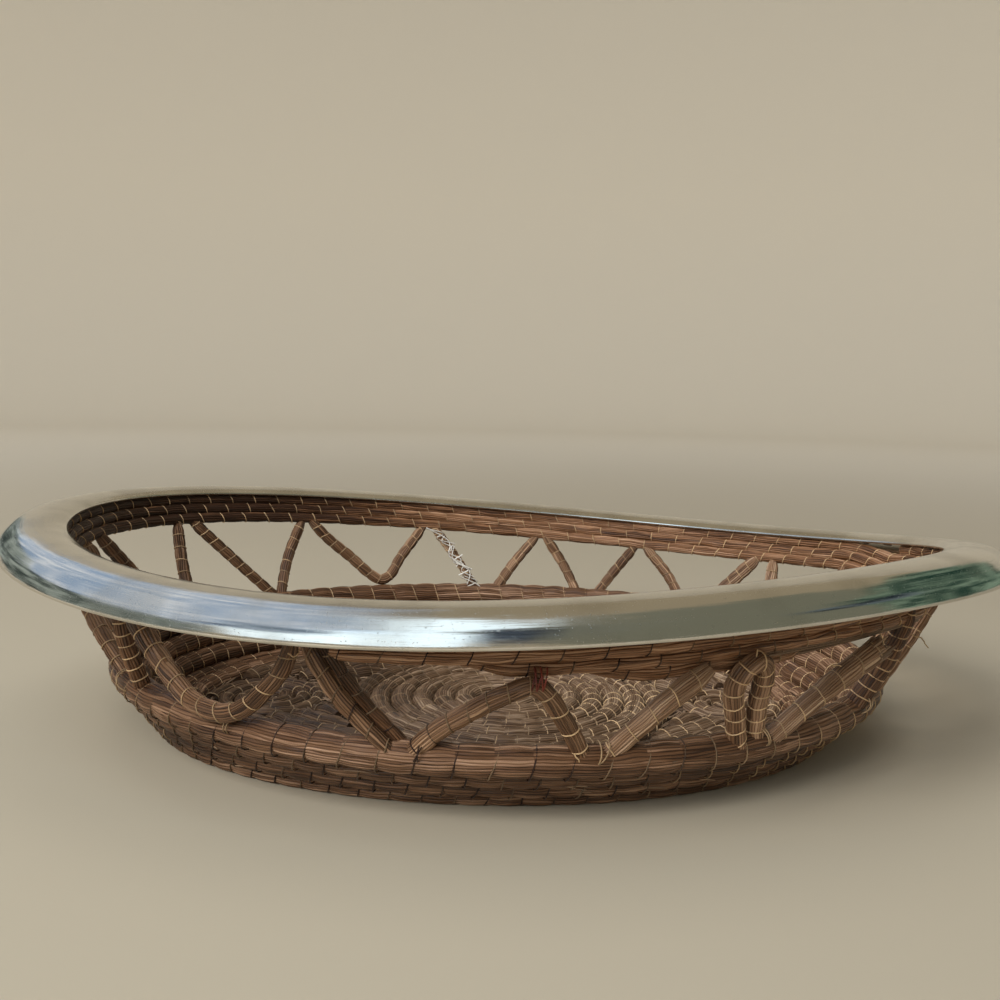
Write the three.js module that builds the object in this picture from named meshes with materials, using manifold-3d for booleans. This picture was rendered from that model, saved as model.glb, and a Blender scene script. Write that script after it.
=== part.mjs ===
// Long oval basket of coiled pine needle bundles with an open tier of slanting bundles
// and a wide, slightly twisted rim of thin polished metal.
// Millimetres, +Z up, X along the length. The origin is on the ground under the middle of the rim.

import * as THREE from 'three';
import Module from 'manifold-3d';

const wasm = await Module();
wasm.setup();

// Metal rim: the oval of its inner edge, the width of its flange and the drop of its skirt
const RIM_HALF_LENGTH = 175;
const RIM_HALF_WIDTH = 118;
const FLANGE_WIDTH = 25;
const DOME_RISE = 2.6;
const SKIRT_DROP = 7.6;
const SHEET = 1;
const LIP_BEAD = 0.7;
const RIM_HEIGHT = 75.2;
const RIM_STEPS = 90;

// The rim was bent by use: its height as waves of once, twice and three times round
const RIM_WAVES = [[-3.5, -1.6], [3.2, -5.3], [-0.6, -0.8]];

// Floor and lower wall: the oval of the outermost floor row, the pitch of the rows and the slope
// of the wall in degrees, with its waves once and twice round: the front lies flatter
const FOOT_HALF_LENGTH = 135.5;
const FOOT_HALF_WIDTH = 94;
const FOOT_SHIFT = -4.5;
const ROW_RADIUS = 4.2;
const ROW_PITCH = 8.9;
const WALL_SLOPE = 52.8;
const SLOPE_WAVES = [[-4, 8.1], [2.5, 0]];
const WALL_ROWS = 3;
const RING_RADIUS = 5.1;

// Upper band under the rim. At the front right, short rows below it fill out the sagging side.
const BAND_ROW_RADIUS = 2.2;
const BAND_PITCH = 4.4;
const BAND_LEAN = 1.7;
const BAND_ROWS = 4;
const BAND_INSET = -1.7;
const BAND_SAG = 0.04;
const BAND_SHORT_ROWS = [
  { name: 'band_short_row_upper', level: -1, from: 262, to: 335 },
  { name: 'band_short_row_lower', level: -2, from: 275, to: 305 },
];

// Coils in the floor: the middle one lies a little to the right, the end ones are of a finer bundle
const COIL_SHIFT = 4;
const END_COIL_RADIUS = 2.9;
const END_COIL_PITCH = 6.6;
const EYE_SHARE = 1.05;
const FIRST_SHORT_ROW = 2;
const LAST_SHORT_ROW = 6;
const SHORTEST_ROW = 9;
const ROW_END_SHARE = 0.7;

// Bundles of the open tier
const STRUT_RADIUS = 2.9;
const STRUT_BOW = 1.2;

// Room between pieces that touch, and the flat under a bundle as a share of its diameter
const SEAT_GAP = 0.3;
const COIL_GAP = 0.6;
const FLAT_SHARE = 0.1;
const LEAST_GAP = 0.4;

// How finely the bundles are stepped
const SIDES = 6;
const LONG_TURN_STEPS = 40;
const COIL_TURN_STEPS = 24;
const SMALL_TURN_STEPS = 16;
const STRAIGHT_STEPS = 5;
const BENT_STEPS = 16;
const SHORTEST_STEP = 0.3;

const TURN = 2 * Math.PI;
const rad = THREE.MathUtils.degToRad;
const smooth = (x) => THREE.MathUtils.smoothstep(x, 0, 1);
const UP = new THREE.Vector3(0, 0, 1);
const HEX_FLAT = Math.cos(Math.PI / SIDES);
const FLOOR_HEIGHT = ROW_RADIUS * (1 - 2 * FLAT_SHARE);

// One point of the curve that runs beside an oval at a fixed distance
function besideOval(halfLength, halfWidth, offset, angle) {
  const c = Math.cos(angle);
  const s = Math.sin(angle);
  const across = new THREE.Vector2(c / halfLength, s / halfWidth).normalize();
  return new THREE.Vector3(halfLength * c + offset * across.x, halfWidth * s + offset * across.y, 0);
}

// A size that changes round the basket: its mean, and waves once, twice and more times round
function waved(mean, waves, angle) {
  return waves.reduce((sum, [cosine, sine], i) => (
    sum + cosine * Math.cos((i + 1) * angle) + sine * Math.sin((i + 1) * angle)
  ), mean);
}

// Height of the bent rim's inner edge round the basket
function rimHeight(angle) {
  return waved(RIM_HEIGHT, RIM_WAVES, angle);
}

// Skin over a row of outlines. Each outline runs anticlockwise seen against the path.
function skin(outlines, closed) {
  const count = outlines[0].length;
  const positions = outlines.flat().flatMap((p) => [p.x, p.y, p.z]);
  const faces = [];
  const last = closed ? outlines.length : outlines.length - 1;
  for (let i = 0; i < last; i += 1) {
    const a = i * count;
    const b = ((i + 1) % outlines.length) * count;
    for (let j = 0; j < count; j += 1) {
      const k = (j + 1) % count;
      faces.push(a + j, b + j, b + k, a + j, b + k, a + k);
    }
  }
  if (!closed) {
    const end = (outlines.length - 1) * count;
    for (let j = 1; j < count - 1; j += 1) {
      faces.push(0, j, j + 1, end, end + j + 1, end + j);
    }
  }
  const geometry = new THREE.BufferGeometry();
  geometry.setAttribute('position', new THREE.Float32BufferAttribute(positions, 3));
  geometry.setIndex(faces);
  return geometry;
}

// Section of a bundle: six-sided, with its lower side cut flat where it stands on the ground
function bundleSection(radius) {
  const points = [];
  for (let i = 0; i < SIDES; i += 1) {
    const angle = (i / SIDES) * TURN;
    const across = radius * Math.cos(angle);
    const rise = radius * Math.sin(angle);
    const floor = -radius * (1 - 2 * FLAT_SHARE);
    const over = Math.max(0, floor - rise);
    points.push([across + Math.sign(across) * over / Math.tan(rad(60)), rise + over]);
  }
  return points;
}

// Outlines of a bundle along a path. hintAt gives the direction that the section's top faces.
function bundleOutlines(path, radiusAt, hintAt) {
  return path.map((point, i) => {
    const before = path[Math.max(i - 1, 0)];
    const after = path[Math.min(i + 1, path.length - 1)];
    const along = after.clone().sub(before).normalize();
    const side = along.clone().cross(hintAt(i)).normalize();
    const top = side.clone().cross(along);
    return bundleSection(radiusAt(i)).map(([across, rise]) => (
      point.clone().addScaledVector(side, across).addScaledVector(top, rise)
    ));
  });
}

// Level of a winding after some turns: flat rows that climb to the next row in a short arc
function rowLevel(turns, climbShare) {
  const row = Math.floor(turns);
  const part = turns - row;
  return row + (part > 1 - climbShare ? smooth((part - 1 + climbShare) / climbShare) : 0);
}

// Least gap between the turns of one winding, measured on points along its edges and sides
function leastGap(name, outlines, stepsPerTurn) {
  const stations = [];
  for (let i = 0; i < outlines.length - 1; i += 1) {
    for (let part = 0; part < 4; part += 1) {
      const ring = outlines[i].map((p, j) => p.clone().lerp(outlines[i + 1][j], part / 4));
      const middles = ring.map((p, j) => p.clone().lerp(ring[(j + 1) % ring.length], 0.5));
      stations.push({ at: i + part / 4, points: ring.concat(middles) });
    }
  }
  let least = Infinity;
  for (const a of stations) {
    for (const b of stations) {
      if (b.at - a.at < stepsPerTurn * 0.5) continue;
      if (a.points[0].distanceTo(b.points[0]) > 4 * ROW_PITCH) continue;
      for (const p of a.points) {
        for (const q of b.points) least = Math.min(least, p.distanceToSquared(q));
      }
    }
  }
  least = Math.sqrt(least);
  console.log(`${name}: least gap to itself ${least.toFixed(2)} mm`);
  if (least < LEAST_GAP) console.warn(`${name}: its turns are closer than ${LEAST_GAP} mm`);
}

// Cuts and joins
function toSolid(geometry) {
  return new wasm.Manifold(new wasm.Mesh({
    numProp: 3,
    vertProperties: new Float32Array(geometry.attributes.position.array),
    triVerts: new Uint32Array(geometry.index.array),
  }));
}

function toGeometry(solid) {
  const mesh = solid.getMesh();
  const geometry = new THREE.BufferGeometry();
  geometry.setAttribute('position', new THREE.Float32BufferAttribute(mesh.vertProperties, 3));
  geometry.setIndex(Array.from(mesh.triVerts));
  return geometry;
}

const basket = new THREE.Group();

function addPiece(name, geometry, finish) {
  geometry.computeVertexNormals();
  const piece = new THREE.Mesh(geometry, finish());
  piece.name = name;
  basket.add(piece);
}

// Finishes
const polishedMetal = () => new THREE.MeshStandardMaterial({ color: 0xc9c8c2, roughness: 0.18, metalness: 1 });
const brownNeedles = () => new THREE.MeshStandardMaterial({ color: 0x84543a, roughness: 0.72, metalness: 0 });
const paleNeedles = () => new THREE.MeshStandardMaterial({ color: 0xa37a58, roughness: 0.75, metalness: 0 });
const darkNeedles = () => new THREE.MeshStandardMaterial({ color: 0x5b3a28, roughness: 0.72, metalness: 0 });
const floorNeedles = () => new THREE.MeshStandardMaterial({ color: 0x8a6a50, roughness: 0.78, metalness: 0 });

// Metal rim: outer face of the section from the inner edge over the dome and down the skirt,
// then back along the inside of the sheet
function rimSection() {
  const crown = FLANGE_WIDTH * 0.44;
  const shoulder = FLANGE_WIDTH * 0.8;
  const outside = new THREE.CatmullRomCurve3([
    new THREE.Vector3(0, 0, 0),
    new THREE.Vector3(crown * 0.4, DOME_RISE * 0.66, 0),
    new THREE.Vector3(crown, DOME_RISE, 0),
    new THREE.Vector3(shoulder, DOME_RISE * 0.2, 0),
    new THREE.Vector3(FLANGE_WIDTH * 0.95, -SKIRT_DROP * 0.45, 0),
    new THREE.Vector3(FLANGE_WIDTH - LIP_BEAD, -SKIRT_DROP, 0),
  ]).getSpacedPoints(9);
  const inside = outside.map((p, i) => {
    const before = outside[Math.max(i - 1, 0)];
    const after = outside[Math.min(i + 1, outside.length - 1)];
    const along = after.clone().sub(before).normalize();
    return new THREE.Vector3(p.x + along.y * SHEET, p.y - along.x * SHEET, 0);
  });
  const foot = outside[outside.length - 1];
  const bead = [
    new THREE.Vector3(foot.x + LIP_BEAD, foot.y - LIP_BEAD * 0.4, 0),
    new THREE.Vector3(foot.x + LIP_BEAD * 0.6, foot.y - LIP_BEAD * 1.3, 0),
  ];
  return inside.concat(bead.reverse(), outside.reverse());
}

function metalRim() {
  const section = rimSection();
  const outlines = [];
  for (let i = 0; i < RIM_STEPS; i += 1) {
    const angle = (i / RIM_STEPS) * TURN;
    outlines.push(section.map((p) => {
      const place = besideOval(RIM_HALF_LENGTH, RIM_HALF_WIDTH, p.x, angle);
      place.z = rimHeight(angle) + p.y;
      return place;
    }));
  }
  return skin(outlines, true);
}

// Upper band: one bundle wound under the rim from its lowest row to the row that the flange hides.
// It climbs to the next row just before BAND_STEP, and its lowest row begins at BAND_BEGINS.
const BAND_STEP = rad(25);
const BAND_BEGINS = rad(250);
const BAND_CLIMB = 15 / 360;
const BAND_TOP_SEAT = SHEET + SEAT_GAP + BAND_ROW_RADIUS * HEX_FLAT;

function bandPoint(angle, level) {
  const below = BAND_TOP_SEAT + (BAND_ROWS - 1 - level) * BAND_PITCH * (1 - BAND_SAG * Math.sin(angle));
  const place = besideOval(RIM_HALF_LENGTH, RIM_HALF_WIDTH, BAND_INSET + BAND_LEAN * level, angle);
  place.z = rimHeight(angle) - below;
  return place;
}

// Path of a winding. Its steps are counted back from its end, so those of its turns lie side by side.
function windingPath(turns, steps, start, pointAt) {
  const count = Math.floor(turns * steps);
  const spare = turns - count / steps;
  const path = spare * steps > SHORTEST_STEP ? [pointAt(start, 0)] : [];
  for (let i = 0; i <= count; i += 1) {
    const done = spare + i / steps;
    path.push(pointAt(start + done * TURN, done));
  }
  return path;
}

function bandOutlines(extra) {
  const skipped = (BAND_BEGINS - BAND_STEP) / TURN;
  const turns = BAND_ROWS - BAND_CLIMB - skipped;
  const path = windingPath(turns, LONG_TURN_STEPS, BAND_BEGINS, (angle, done) => (
    bandPoint(angle, rowLevel(done + skipped, BAND_CLIMB))
  ));
  return bundleOutlines(path, () => BAND_ROW_RADIUS + extra, () => UP);
}

function bandShortRow({ level, from, to }, extra) {
  const turns = (to - from) / 360;
  const path = windingPath(turns, LONG_TURN_STEPS, rad(from), (angle) => bandPoint(angle, level));
  const last = path.length - 1;
  const radiusAt = (i) => BAND_ROW_RADIUS * (i === 0 || i === last ? ROW_END_SHARE : 1) + extra;
  return bundleOutlines(path, radiusAt, () => UP);
}

// Lower wall: one bundle from the outermost floor rows up the wall to the ring under the open tier
const WALL_START = rad(30);
const WALL_CLIMB = 16 / 360;
const WALL_TURNS = WALL_ROWS + 2 - WALL_CLIMB;
const RING_LEVEL = WALL_ROWS + 1;

// How far a level is up the slope: the ring is fatter than the rows, so it lies a little further up
function wallRun(level) {
  return Math.max(level - 1, 0) * ROW_PITCH + smooth(level - RING_LEVEL + 1) * (RING_RADIUS - ROW_RADIUS);
}

function wallPoint(angle, level) {
  const slope = rad(waved(WALL_SLOPE, SLOPE_WAVES, angle));
  const offset = (Math.min(level, 1) - 1) * ROW_PITCH + wallRun(level) * Math.cos(slope);
  const place = besideOval(FOOT_HALF_LENGTH, FOOT_HALF_WIDTH, offset, angle);
  place.x += FOOT_SHIFT;
  place.z = FLOOR_HEIGHT + wallRun(level) * Math.sin(slope);
  return place;
}

function wallOutlines(extra) {
  const levels = [];
  const path = windingPath(WALL_TURNS, LONG_TURN_STEPS, WALL_START, (angle, done) => {
    const level = rowLevel(done, WALL_CLIMB);
    levels.push(level);
    return wallPoint(angle, level);
  });
  const radiusAt = (i) => (
    THREE.MathUtils.lerp(ROW_RADIUS, RING_RADIUS, smooth(levels[i] - RING_LEVEL + 1)) + extra
  );
  return bundleOutlines(path, radiusAt, () => UP);
}

// Round coils of the floor, each one bundle wound outwards from its eye as an even spiral. Its
// end lies against the next row: the middle coil's at the back, the end coils' at the wall.
// The middle coil fills the width between the second rows, the end coils what is left beside it.
const CENTRE_COIL_EDGE = FOOT_HALF_WIDTH - 2 * ROW_PITCH - ROW_RADIUS - COIL_GAP;
const END_COIL_OUTSIDE = FOOT_HALF_LENGTH - ROW_PITCH - ROW_RADIUS - COIL_GAP;

function endCoil(side) {
  const inside = CENTRE_COIL_EDGE + COIL_GAP + side * COIL_SHIFT;
  const edge = (END_COIL_OUTSIDE - inside) / 2;
  return {
    x: side * (inside + edge),
    edge,
    radius: END_COIL_RADIUS,
    pitch: END_COIL_PITCH,
    steps: SMALL_TURN_STEPS,
    end: side > 0 ? 0 : Math.PI,
  };
}

const CENTRE_COIL = {
  x: COIL_SHIFT,
  edge: CENTRE_COIL_EDGE,
  radius: ROW_RADIUS,
  pitch: ROW_PITCH,
  steps: COIL_TURN_STEPS,
  end: Math.PI / 2,
};
const COILS = [CENTRE_COIL, endCoil(-1), endCoil(1)];

function coilTurns(coil) {
  return (coil.edge - coil.radius * (1 + EYE_SHARE)) / coil.pitch;
}

function coilOutlines(coil) {
  const turns = coilTurns(coil);
  const path = windingPath(turns, coil.steps, coil.end - turns * TURN, (angle, done) => {
    const reach = coil.radius * EYE_SHARE + coil.pitch * done;
    return new THREE.Vector3(
      FOOT_SHIFT + coil.x + reach * Math.cos(angle),
      reach * Math.sin(angle),
      coil.radius * (1 - 2 * FLAT_SHARE),
    );
  });
  const radiusAt = (i) => coil.radius * THREE.MathUtils.lerp(ROW_END_SHARE, 1, smooth(i / coil.steps));
  return bundleOutlines(path, radiusAt, () => UP);
}

// Room between a point of the floor and the outermost turn of a coil, as wide as a row
function roomBeside(coil, point) {
  const x = point.x - coil.x;
  const distance = Math.hypot(x, point.y);
  const spread = (ROW_RADIUS + COIL_GAP) / distance;
  const inward = [-spread, 0, spread].map((shift) => {
    const beforeEnd = coil.end - Math.atan2(point.y, x) - shift;
    return (coil.pitch / TURN) * THREE.MathUtils.euclideanModulo(beforeEnd, TURN);
  });
  return distance - (coil.edge - Math.min(...inward));
}

// Short floor rows: they follow the outermost row inwards and stop at the coils
function floorRowPoint(rowNumber, angle) {
  return besideOval(FOOT_HALF_LENGTH, FOOT_HALF_WIDTH, -rowNumber * ROW_PITCH, angle);
}

function stretchLength(rowNumber, { from, to }) {
  return floorRowPoint(rowNumber, from).distanceTo(floorRowPoint(rowNumber, to));
}

function freeStretches(rowNumber, side) {
  const samples = 360;
  const needed = 0.99 * (ROW_RADIUS + COIL_GAP);
  const stretches = [];
  let open = null;
  for (let i = 0; i <= samples; i += 1) {
    const angle = (side * i * Math.PI) / samples;
    const point = floorRowPoint(rowNumber, angle);
    if (COILS.every((coil) => roomBeside(coil, point) > needed)) {
      open = open ?? { from: angle, to: angle };
      open.to = angle;
    } else if (open) {
      if (stretchLength(rowNumber, open) > SHORTEST_ROW) stretches.push(open);
      open = null;
    }
  }
  return stretches;
}

function floorRow(rowNumber, stretch) {
  const count = Math.max(4, Math.round(stretchLength(rowNumber, stretch) / (3 * ROW_RADIUS)));
  const path = [];
  for (let i = 0; i <= count; i += 1) {
    const point = floorRowPoint(rowNumber, THREE.MathUtils.lerp(stretch.from, stretch.to, i / count));
    path.push(new THREE.Vector3(point.x + FOOT_SHIFT, point.y, FLOOR_HEIGHT));
  }
  const radiusAt = (i) => ROW_RADIUS * (i === 0 || i === count ? ROW_END_SHARE : 1);
  return skin(bundleOutlines(path, radiusAt, () => UP), false);
}

// Open tier. A bundle's route is a list of stops: the angle round the basket, how far up it is
// from the ring to the band's lowest full row, and how far it stands out from the wall there. Its
// radii are those at its two ends.
const BAND_LOWEST_FULL_ROW = 1;

function tierPoint([degrees, rise, out = 0]) {
  const angle = rad(degrees);
  const low = wallPoint(angle, RING_LEVEL);
  const high = bandPoint(angle, BAND_LOWEST_FULL_ROW);
  const outward = besideOval(RIM_HALF_LENGTH, RIM_HALF_WIDTH, 1, angle)
    .sub(besideOval(RIM_HALF_LENGTH, RIM_HALF_WIDTH, 0, angle));
  return low.lerp(high, rise).addScaledVector(outward, out);
}

function strut({ stops, radii = [STRUT_RADIUS, STRUT_RADIUS], steps = STRAIGHT_STEPS }, extra) {
  const line = new THREE.CatmullRomCurve3(stops.map(tierPoint), false, 'centripetal');
  const path = line.getSpacedPoints(steps);
  const hintAt = (i) => new THREE.Vector3(path[i].x, path[i].y, 0).normalize();
  const radiusAt = (i) => THREE.MathUtils.lerp(radii[0], radii[1], smooth(i / steps)) + extra;
  return toSolid(skin(bundleOutlines(path, radiusAt, hintAt), false));
}

function straightStrut(foot, head) {
  const middle = (foot + head) / 2;
  return [[foot, 0], [middle, 0.5, STRUT_BOW], [head, 1]];
}

// The bundles of the open tier, from the left end along the front and back along the rear wall
const STRUTS = [
  { name: 'strut_left_end_front', stops: straightStrut(208, 193) },
  { name: 'strut_front_short_dark', stops: straightStrut(214, 219.8), finish: darkNeedles },
  {
    name: 'strut_front_round_foot',
    stops: [
      [222.8, 1, 1], [224.4, 0.68, 1.5], [227.6, 0.39, 3], [230.2, 0.24, 4], [233.6, 0.19, 4.5],
      [236.8, 0.21, 4.5], [239.8, 0.31, 4], [242.4, 0.47, 3], [245.3, 0.7, 1.5], [247.2, 1],
    ],
    radii: [3.6, 2.8],
    steps: BENT_STEPS,
  },
  {
    name: 'strut_front_leaning_left',
    stops: [[256.9, 0, 1.5], [253, 0.5, 1.8], [250, 1, 0.5]],
    radii: [2.5, 3.1],
  },
  {
    name: 'strut_front_leaning_dark',
    stops: [[258.4, 0, -2], [255.4, 0.5, -1.5], [252.6, 1, -0.5]],
    radii: [2.3, 2.8],
    finish: darkNeedles,
  },
  {
    name: 'strut_front_tied_peak',
    stops: [
      [259.6, 0.02, 1], [262.8, 0.26, 1.8], [266.8, 0.46, 1.8], [270.4, 0.6, 1.8], [272.8, 0.65, 1.8],
      [274.4, 0.56, 1.8], [276, 0.42, 1.8], [278.2, 0.22, 1.8], [280.2, 0.02, 1],
    ],
    radii: [3.2, 2.9],
    steps: BENT_STEPS,
  },
  {
    name: 'strut_front_pale_wide',
    stops: [[282.9, 0.02, 0.5], [287.7, 0.41, 1.5], [292.2, 0.68, 0.5]],
    radii: [3.1, 3.7],
    finish: paleNeedles,
  },
  {
    name: 'strut_front_narrow_arch',
    stops: [
      [302, 0.02, 1], [299, 0.28, 1.5], [296.4, 0.5, 2], [296.4, 0.64, 3], [298.2, 0.7, 3.6],
      [300.2, 0.6, 3], [302.5, 0.34, 1.5], [305, 0.02, 1],
    ],
    radii: [3, 2.9],
    steps: BENT_STEPS,
  },
  {
    name: 'strut_front_blunt_end',
    stops: [[307.6, 0.1, 2.5], [311.8, 0.39, 3.5], [317.8, 0.63, 5]],
    radii: [3.5, 4.1],
    finish: paleNeedles,
  },
  {
    name: 'strut_front_dark_right',
    stops: [[326.4, 0, 0.5], [327.4, 0.4, 1.2], [325.6, 0.9]],
    radii: [3.6, 3.7],
    finish: darkNeedles,
  },
  { name: 'strut_right_end_front', stops: straightStrut(336, 341), radii: [3.3, 3.3] },
  { name: 'strut_right_end_outer', stops: straightStrut(352, 345) },
  { name: 'strut_right_end_inner', stops: straightStrut(355.4, 363) },
  { name: 'strut_right_end_upright', stops: straightStrut(11, 7) },
  { name: 'strut_right_end_back', stops: straightStrut(14.6, 24) },
  { name: 'strut_back_short_upright', stops: straightStrut(31, 39.8) },
  { name: 'strut_back_thick', stops: straightStrut(45.6, 42.8), radii: [3, 3.2] },
  { name: 'strut_back_right_outer', stops: straightStrut(48.8, 64), radii: [2.4, 2.6] },
  { name: 'strut_back_right_inner', stops: straightStrut(69, 66.7), radii: [2.4, 2.6] },
  { name: 'strut_back_middle_right', stops: straightStrut(71.8, 81.7), radii: [2.4, 2.6] },
  { name: 'strut_back_middle', stops: straightStrut(90, 84.3), radii: [2.8, 2.5] },
  { name: 'strut_back_frayed', stops: straightStrut(92.8, 101.7), radii: [2.1, 2.4] },
  {
    name: 'strut_back_round_foot',
    stops: [
      [104.2, 1], [108.6, 0.5], [111, 0.27, -0.6], [113, 0.21, -0.8], [115, 0.28, -0.6], [118.2, 0.5],
      [121.6, 0.75], [123.7, 1],
    ],
    radii: [2.6, 2.7],
    steps: BENT_STEPS,
  },
  { name: 'strut_back_left_inner', stops: straightStrut(136.3, 126.3), radii: [2.5, 2.6] },
  { name: 'strut_back_left_outer', stops: straightStrut(135.6, 148.9), radii: [2.4, 2.7] },
  { name: 'strut_back_upright', stops: straightStrut(158.4, 151.7), radii: [2.8, 2.7] },
  { name: 'strut_left_end_dark', stops: straightStrut(161.6, 174.8), finish: darkNeedles },
  { name: 'strut_left_end_back', stops: straightStrut(176.2, 180.6) },
  { name: 'strut_left_end_inner', stops: straightStrut(188, 184.2) },
];

// Each bundle is cut to fit against the ring, the rows of the band and the bundle before it
function makeStruts() {
  const clearOf = SEAT_GAP / HEX_FLAT;
  const rows = [wallOutlines(clearOf), bandOutlines(clearOf)]
    .concat(BAND_SHORT_ROWS.map((row) => bandShortRow(row, clearOf)));
  const seats = rows.map((outlines) => toSolid(skin(outlines, false)));
  let before = strut(STRUTS[STRUTS.length - 1], clearOf);
  for (const bundle of STRUTS) {
    const whole = strut(bundle, 0);
    const fitted = [...seats, before].reduce((rest, seat) => rest.subtract(seat), whole);
    const pieces = fitted.decompose().sort((a, b) => b.volume() - a.volume());
    addPiece(bundle.name, toGeometry(pieces[0]), bundle.finish ?? brownNeedles);
    before = strut(bundle, clearOf);
  }
}

function makeBasket() {
  const band = bandOutlines(0);
  const wall = wallOutlines(0);
  const [centre, left, right] = COILS.map(coilOutlines);
  leastGap('upper_band_winding', band, LONG_TURN_STEPS);
  leastGap('lower_wall_winding', wall, LONG_TURN_STEPS);
  leastGap('floor_centre_coil', centre, COIL_TURN_STEPS);
  leastGap('floor_left_coil', left, SMALL_TURN_STEPS);
  leastGap('floor_right_coil', right, SMALL_TURN_STEPS);

  addPiece('metal_rim', metalRim(), polishedMetal);
  addPiece('upper_band_winding', skin(band, false), brownNeedles);
  for (const row of BAND_SHORT_ROWS) addPiece(row.name, skin(bandShortRow(row, 0), false), brownNeedles);
  addPiece('lower_wall_winding', skin(wall, false), brownNeedles);
  addPiece('floor_centre_coil', skin(centre, false), floorNeedles);
  addPiece('floor_left_coil', skin(left, false), floorNeedles);
  addPiece('floor_right_coil', skin(right, false), floorNeedles);
  for (const [place, side] of [['back', 1], ['front', -1]]) {
    for (let row = FIRST_SHORT_ROW; row <= LAST_SHORT_ROW; row += 1) {
      freeStretches(row, side).forEach((stretch, i) => {
        addPiece(`floor_row_${row}_${place}_${i + 1}`, floorRow(row, stretch), floorNeedles);
      });
    }
  }
  makeStruts();
}

makeBasket();

export default basket;
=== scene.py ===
import math

import bpy
import numpy as np
from mathutils import Matrix, Vector


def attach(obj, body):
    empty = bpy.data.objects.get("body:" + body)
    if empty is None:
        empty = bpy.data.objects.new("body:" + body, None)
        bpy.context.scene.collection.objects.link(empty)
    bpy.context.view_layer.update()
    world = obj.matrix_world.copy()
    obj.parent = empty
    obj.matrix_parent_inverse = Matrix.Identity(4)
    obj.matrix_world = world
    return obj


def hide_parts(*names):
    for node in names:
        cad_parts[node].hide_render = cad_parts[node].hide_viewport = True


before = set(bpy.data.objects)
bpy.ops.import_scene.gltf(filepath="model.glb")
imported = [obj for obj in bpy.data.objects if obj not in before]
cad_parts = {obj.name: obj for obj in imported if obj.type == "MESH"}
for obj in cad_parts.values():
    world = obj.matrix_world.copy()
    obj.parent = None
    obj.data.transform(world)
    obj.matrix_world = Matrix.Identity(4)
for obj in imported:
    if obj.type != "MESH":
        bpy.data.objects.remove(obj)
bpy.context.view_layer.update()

# Lower wall: one long bundle of pine needles. It starts as the outermost rows of the floor, climbs
# the wall in three more rows and ends as the fat ring under the open tier. Each row is sewn to the
# one below with waxed thread, so the bundle is pinched at every stitch and swells between them.
TAU = 2 * math.pi
FOOT_HALF_LENGTH = 0.1355
FOOT_HALF_WIDTH = 0.094
FOOT_SHIFT = -0.0045
ROW_RADIUS = 0.0042
ROW_PITCH = 0.0089
ROW_FULLNESS = 1.14
RING_FULLNESS = 1.05
RING_RADIUS = 0.0051
WALL_SLOPE = 52.8
SLOPE_WAVES = ((-4, 8.1), (2.5, 0))
WALL_ROWS = 3
WALL_START = math.radians(30)
WALL_CLIMB = 16 / 360
WALL_TURNS = WALL_ROWS + 2 - WALL_CLIMB
WALL_STITCHES_PER_TURN = 79.3
WALL_SAMPLES = 4800
WALL_ROW_NEEDLES = 25
RING_NEEDLES = 30
FLAT_SHARE = 0.1
FLOOR_HEIGHT = ROW_RADIUS * (1 - 2 * FLAT_SHARE)
RING_LEVEL = WALL_ROWS + 1
PINCH = 0.00042
THREAD = 0.00027
NEEDLE_WIDTH = 0.00105
NEEDLE_ROUGHNESS = 0.44


def smooth(x):
    """An even step from 0 to 1."""
    x = np.clip(x, 0.0, 1.0)
    return x * x * (3 - 2 * x)


def blend(a, b, share):
    return a + (b - a) * share


def unit(vectors):
    return vectors / np.linalg.norm(vectors, axis=-1, keepdims=True)


def waved(mean, waves, angle):
    """A size that changes round the basket: its mean, and waves once, twice and more times round."""
    value = np.full_like(np.asarray(angle, float), mean)
    for turn, (cosine, sine) in enumerate(waves, start=1):
        value += cosine * np.cos(turn * angle) + sine * np.sin(turn * angle)
    return value


def beside_oval(half_length, half_width, offset, angle):
    """Points at a fixed distance beside an oval, lying at height 0."""
    c, s = np.cos(angle), np.sin(angle)
    across = unit(np.stack([c / half_length, s / half_width], axis=-1))
    offset = np.asarray(offset)[..., None] * across
    flat = np.stack([half_length * c, half_width * s], axis=-1) + offset
    return np.concatenate([flat, np.zeros(flat.shape[:-1] + (1,))], axis=-1)


def row_level(turns, climb):
    """Rows lie level and climb to the next one in a short arc at the end of each turn."""
    row = np.floor(turns)
    return row + smooth((turns - row - 1 + climb) / climb)


def wall_run(level):
    """How far a level is up the slope; the fatter ring lies a little further up."""
    fatter = smooth(level - RING_LEVEL + 1) * (RING_RADIUS - ROW_RADIUS)
    return np.maximum(level - 1, 0) * ROW_PITCH + fatter


def wall_point(angle, level):
    slope = np.radians(waved(WALL_SLOPE, SLOPE_WAVES, angle))
    offset = (np.minimum(level, 1) - 1) * ROW_PITCH + wall_run(level) * np.cos(slope)
    place = beside_oval(FOOT_HALF_LENGTH, FOOT_HALF_WIDTH, offset, angle)
    place[..., 0] += FOOT_SHIFT
    place[..., 2] = FLOOR_HEIGHT + wall_run(level) * np.sin(slope)
    return place


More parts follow.
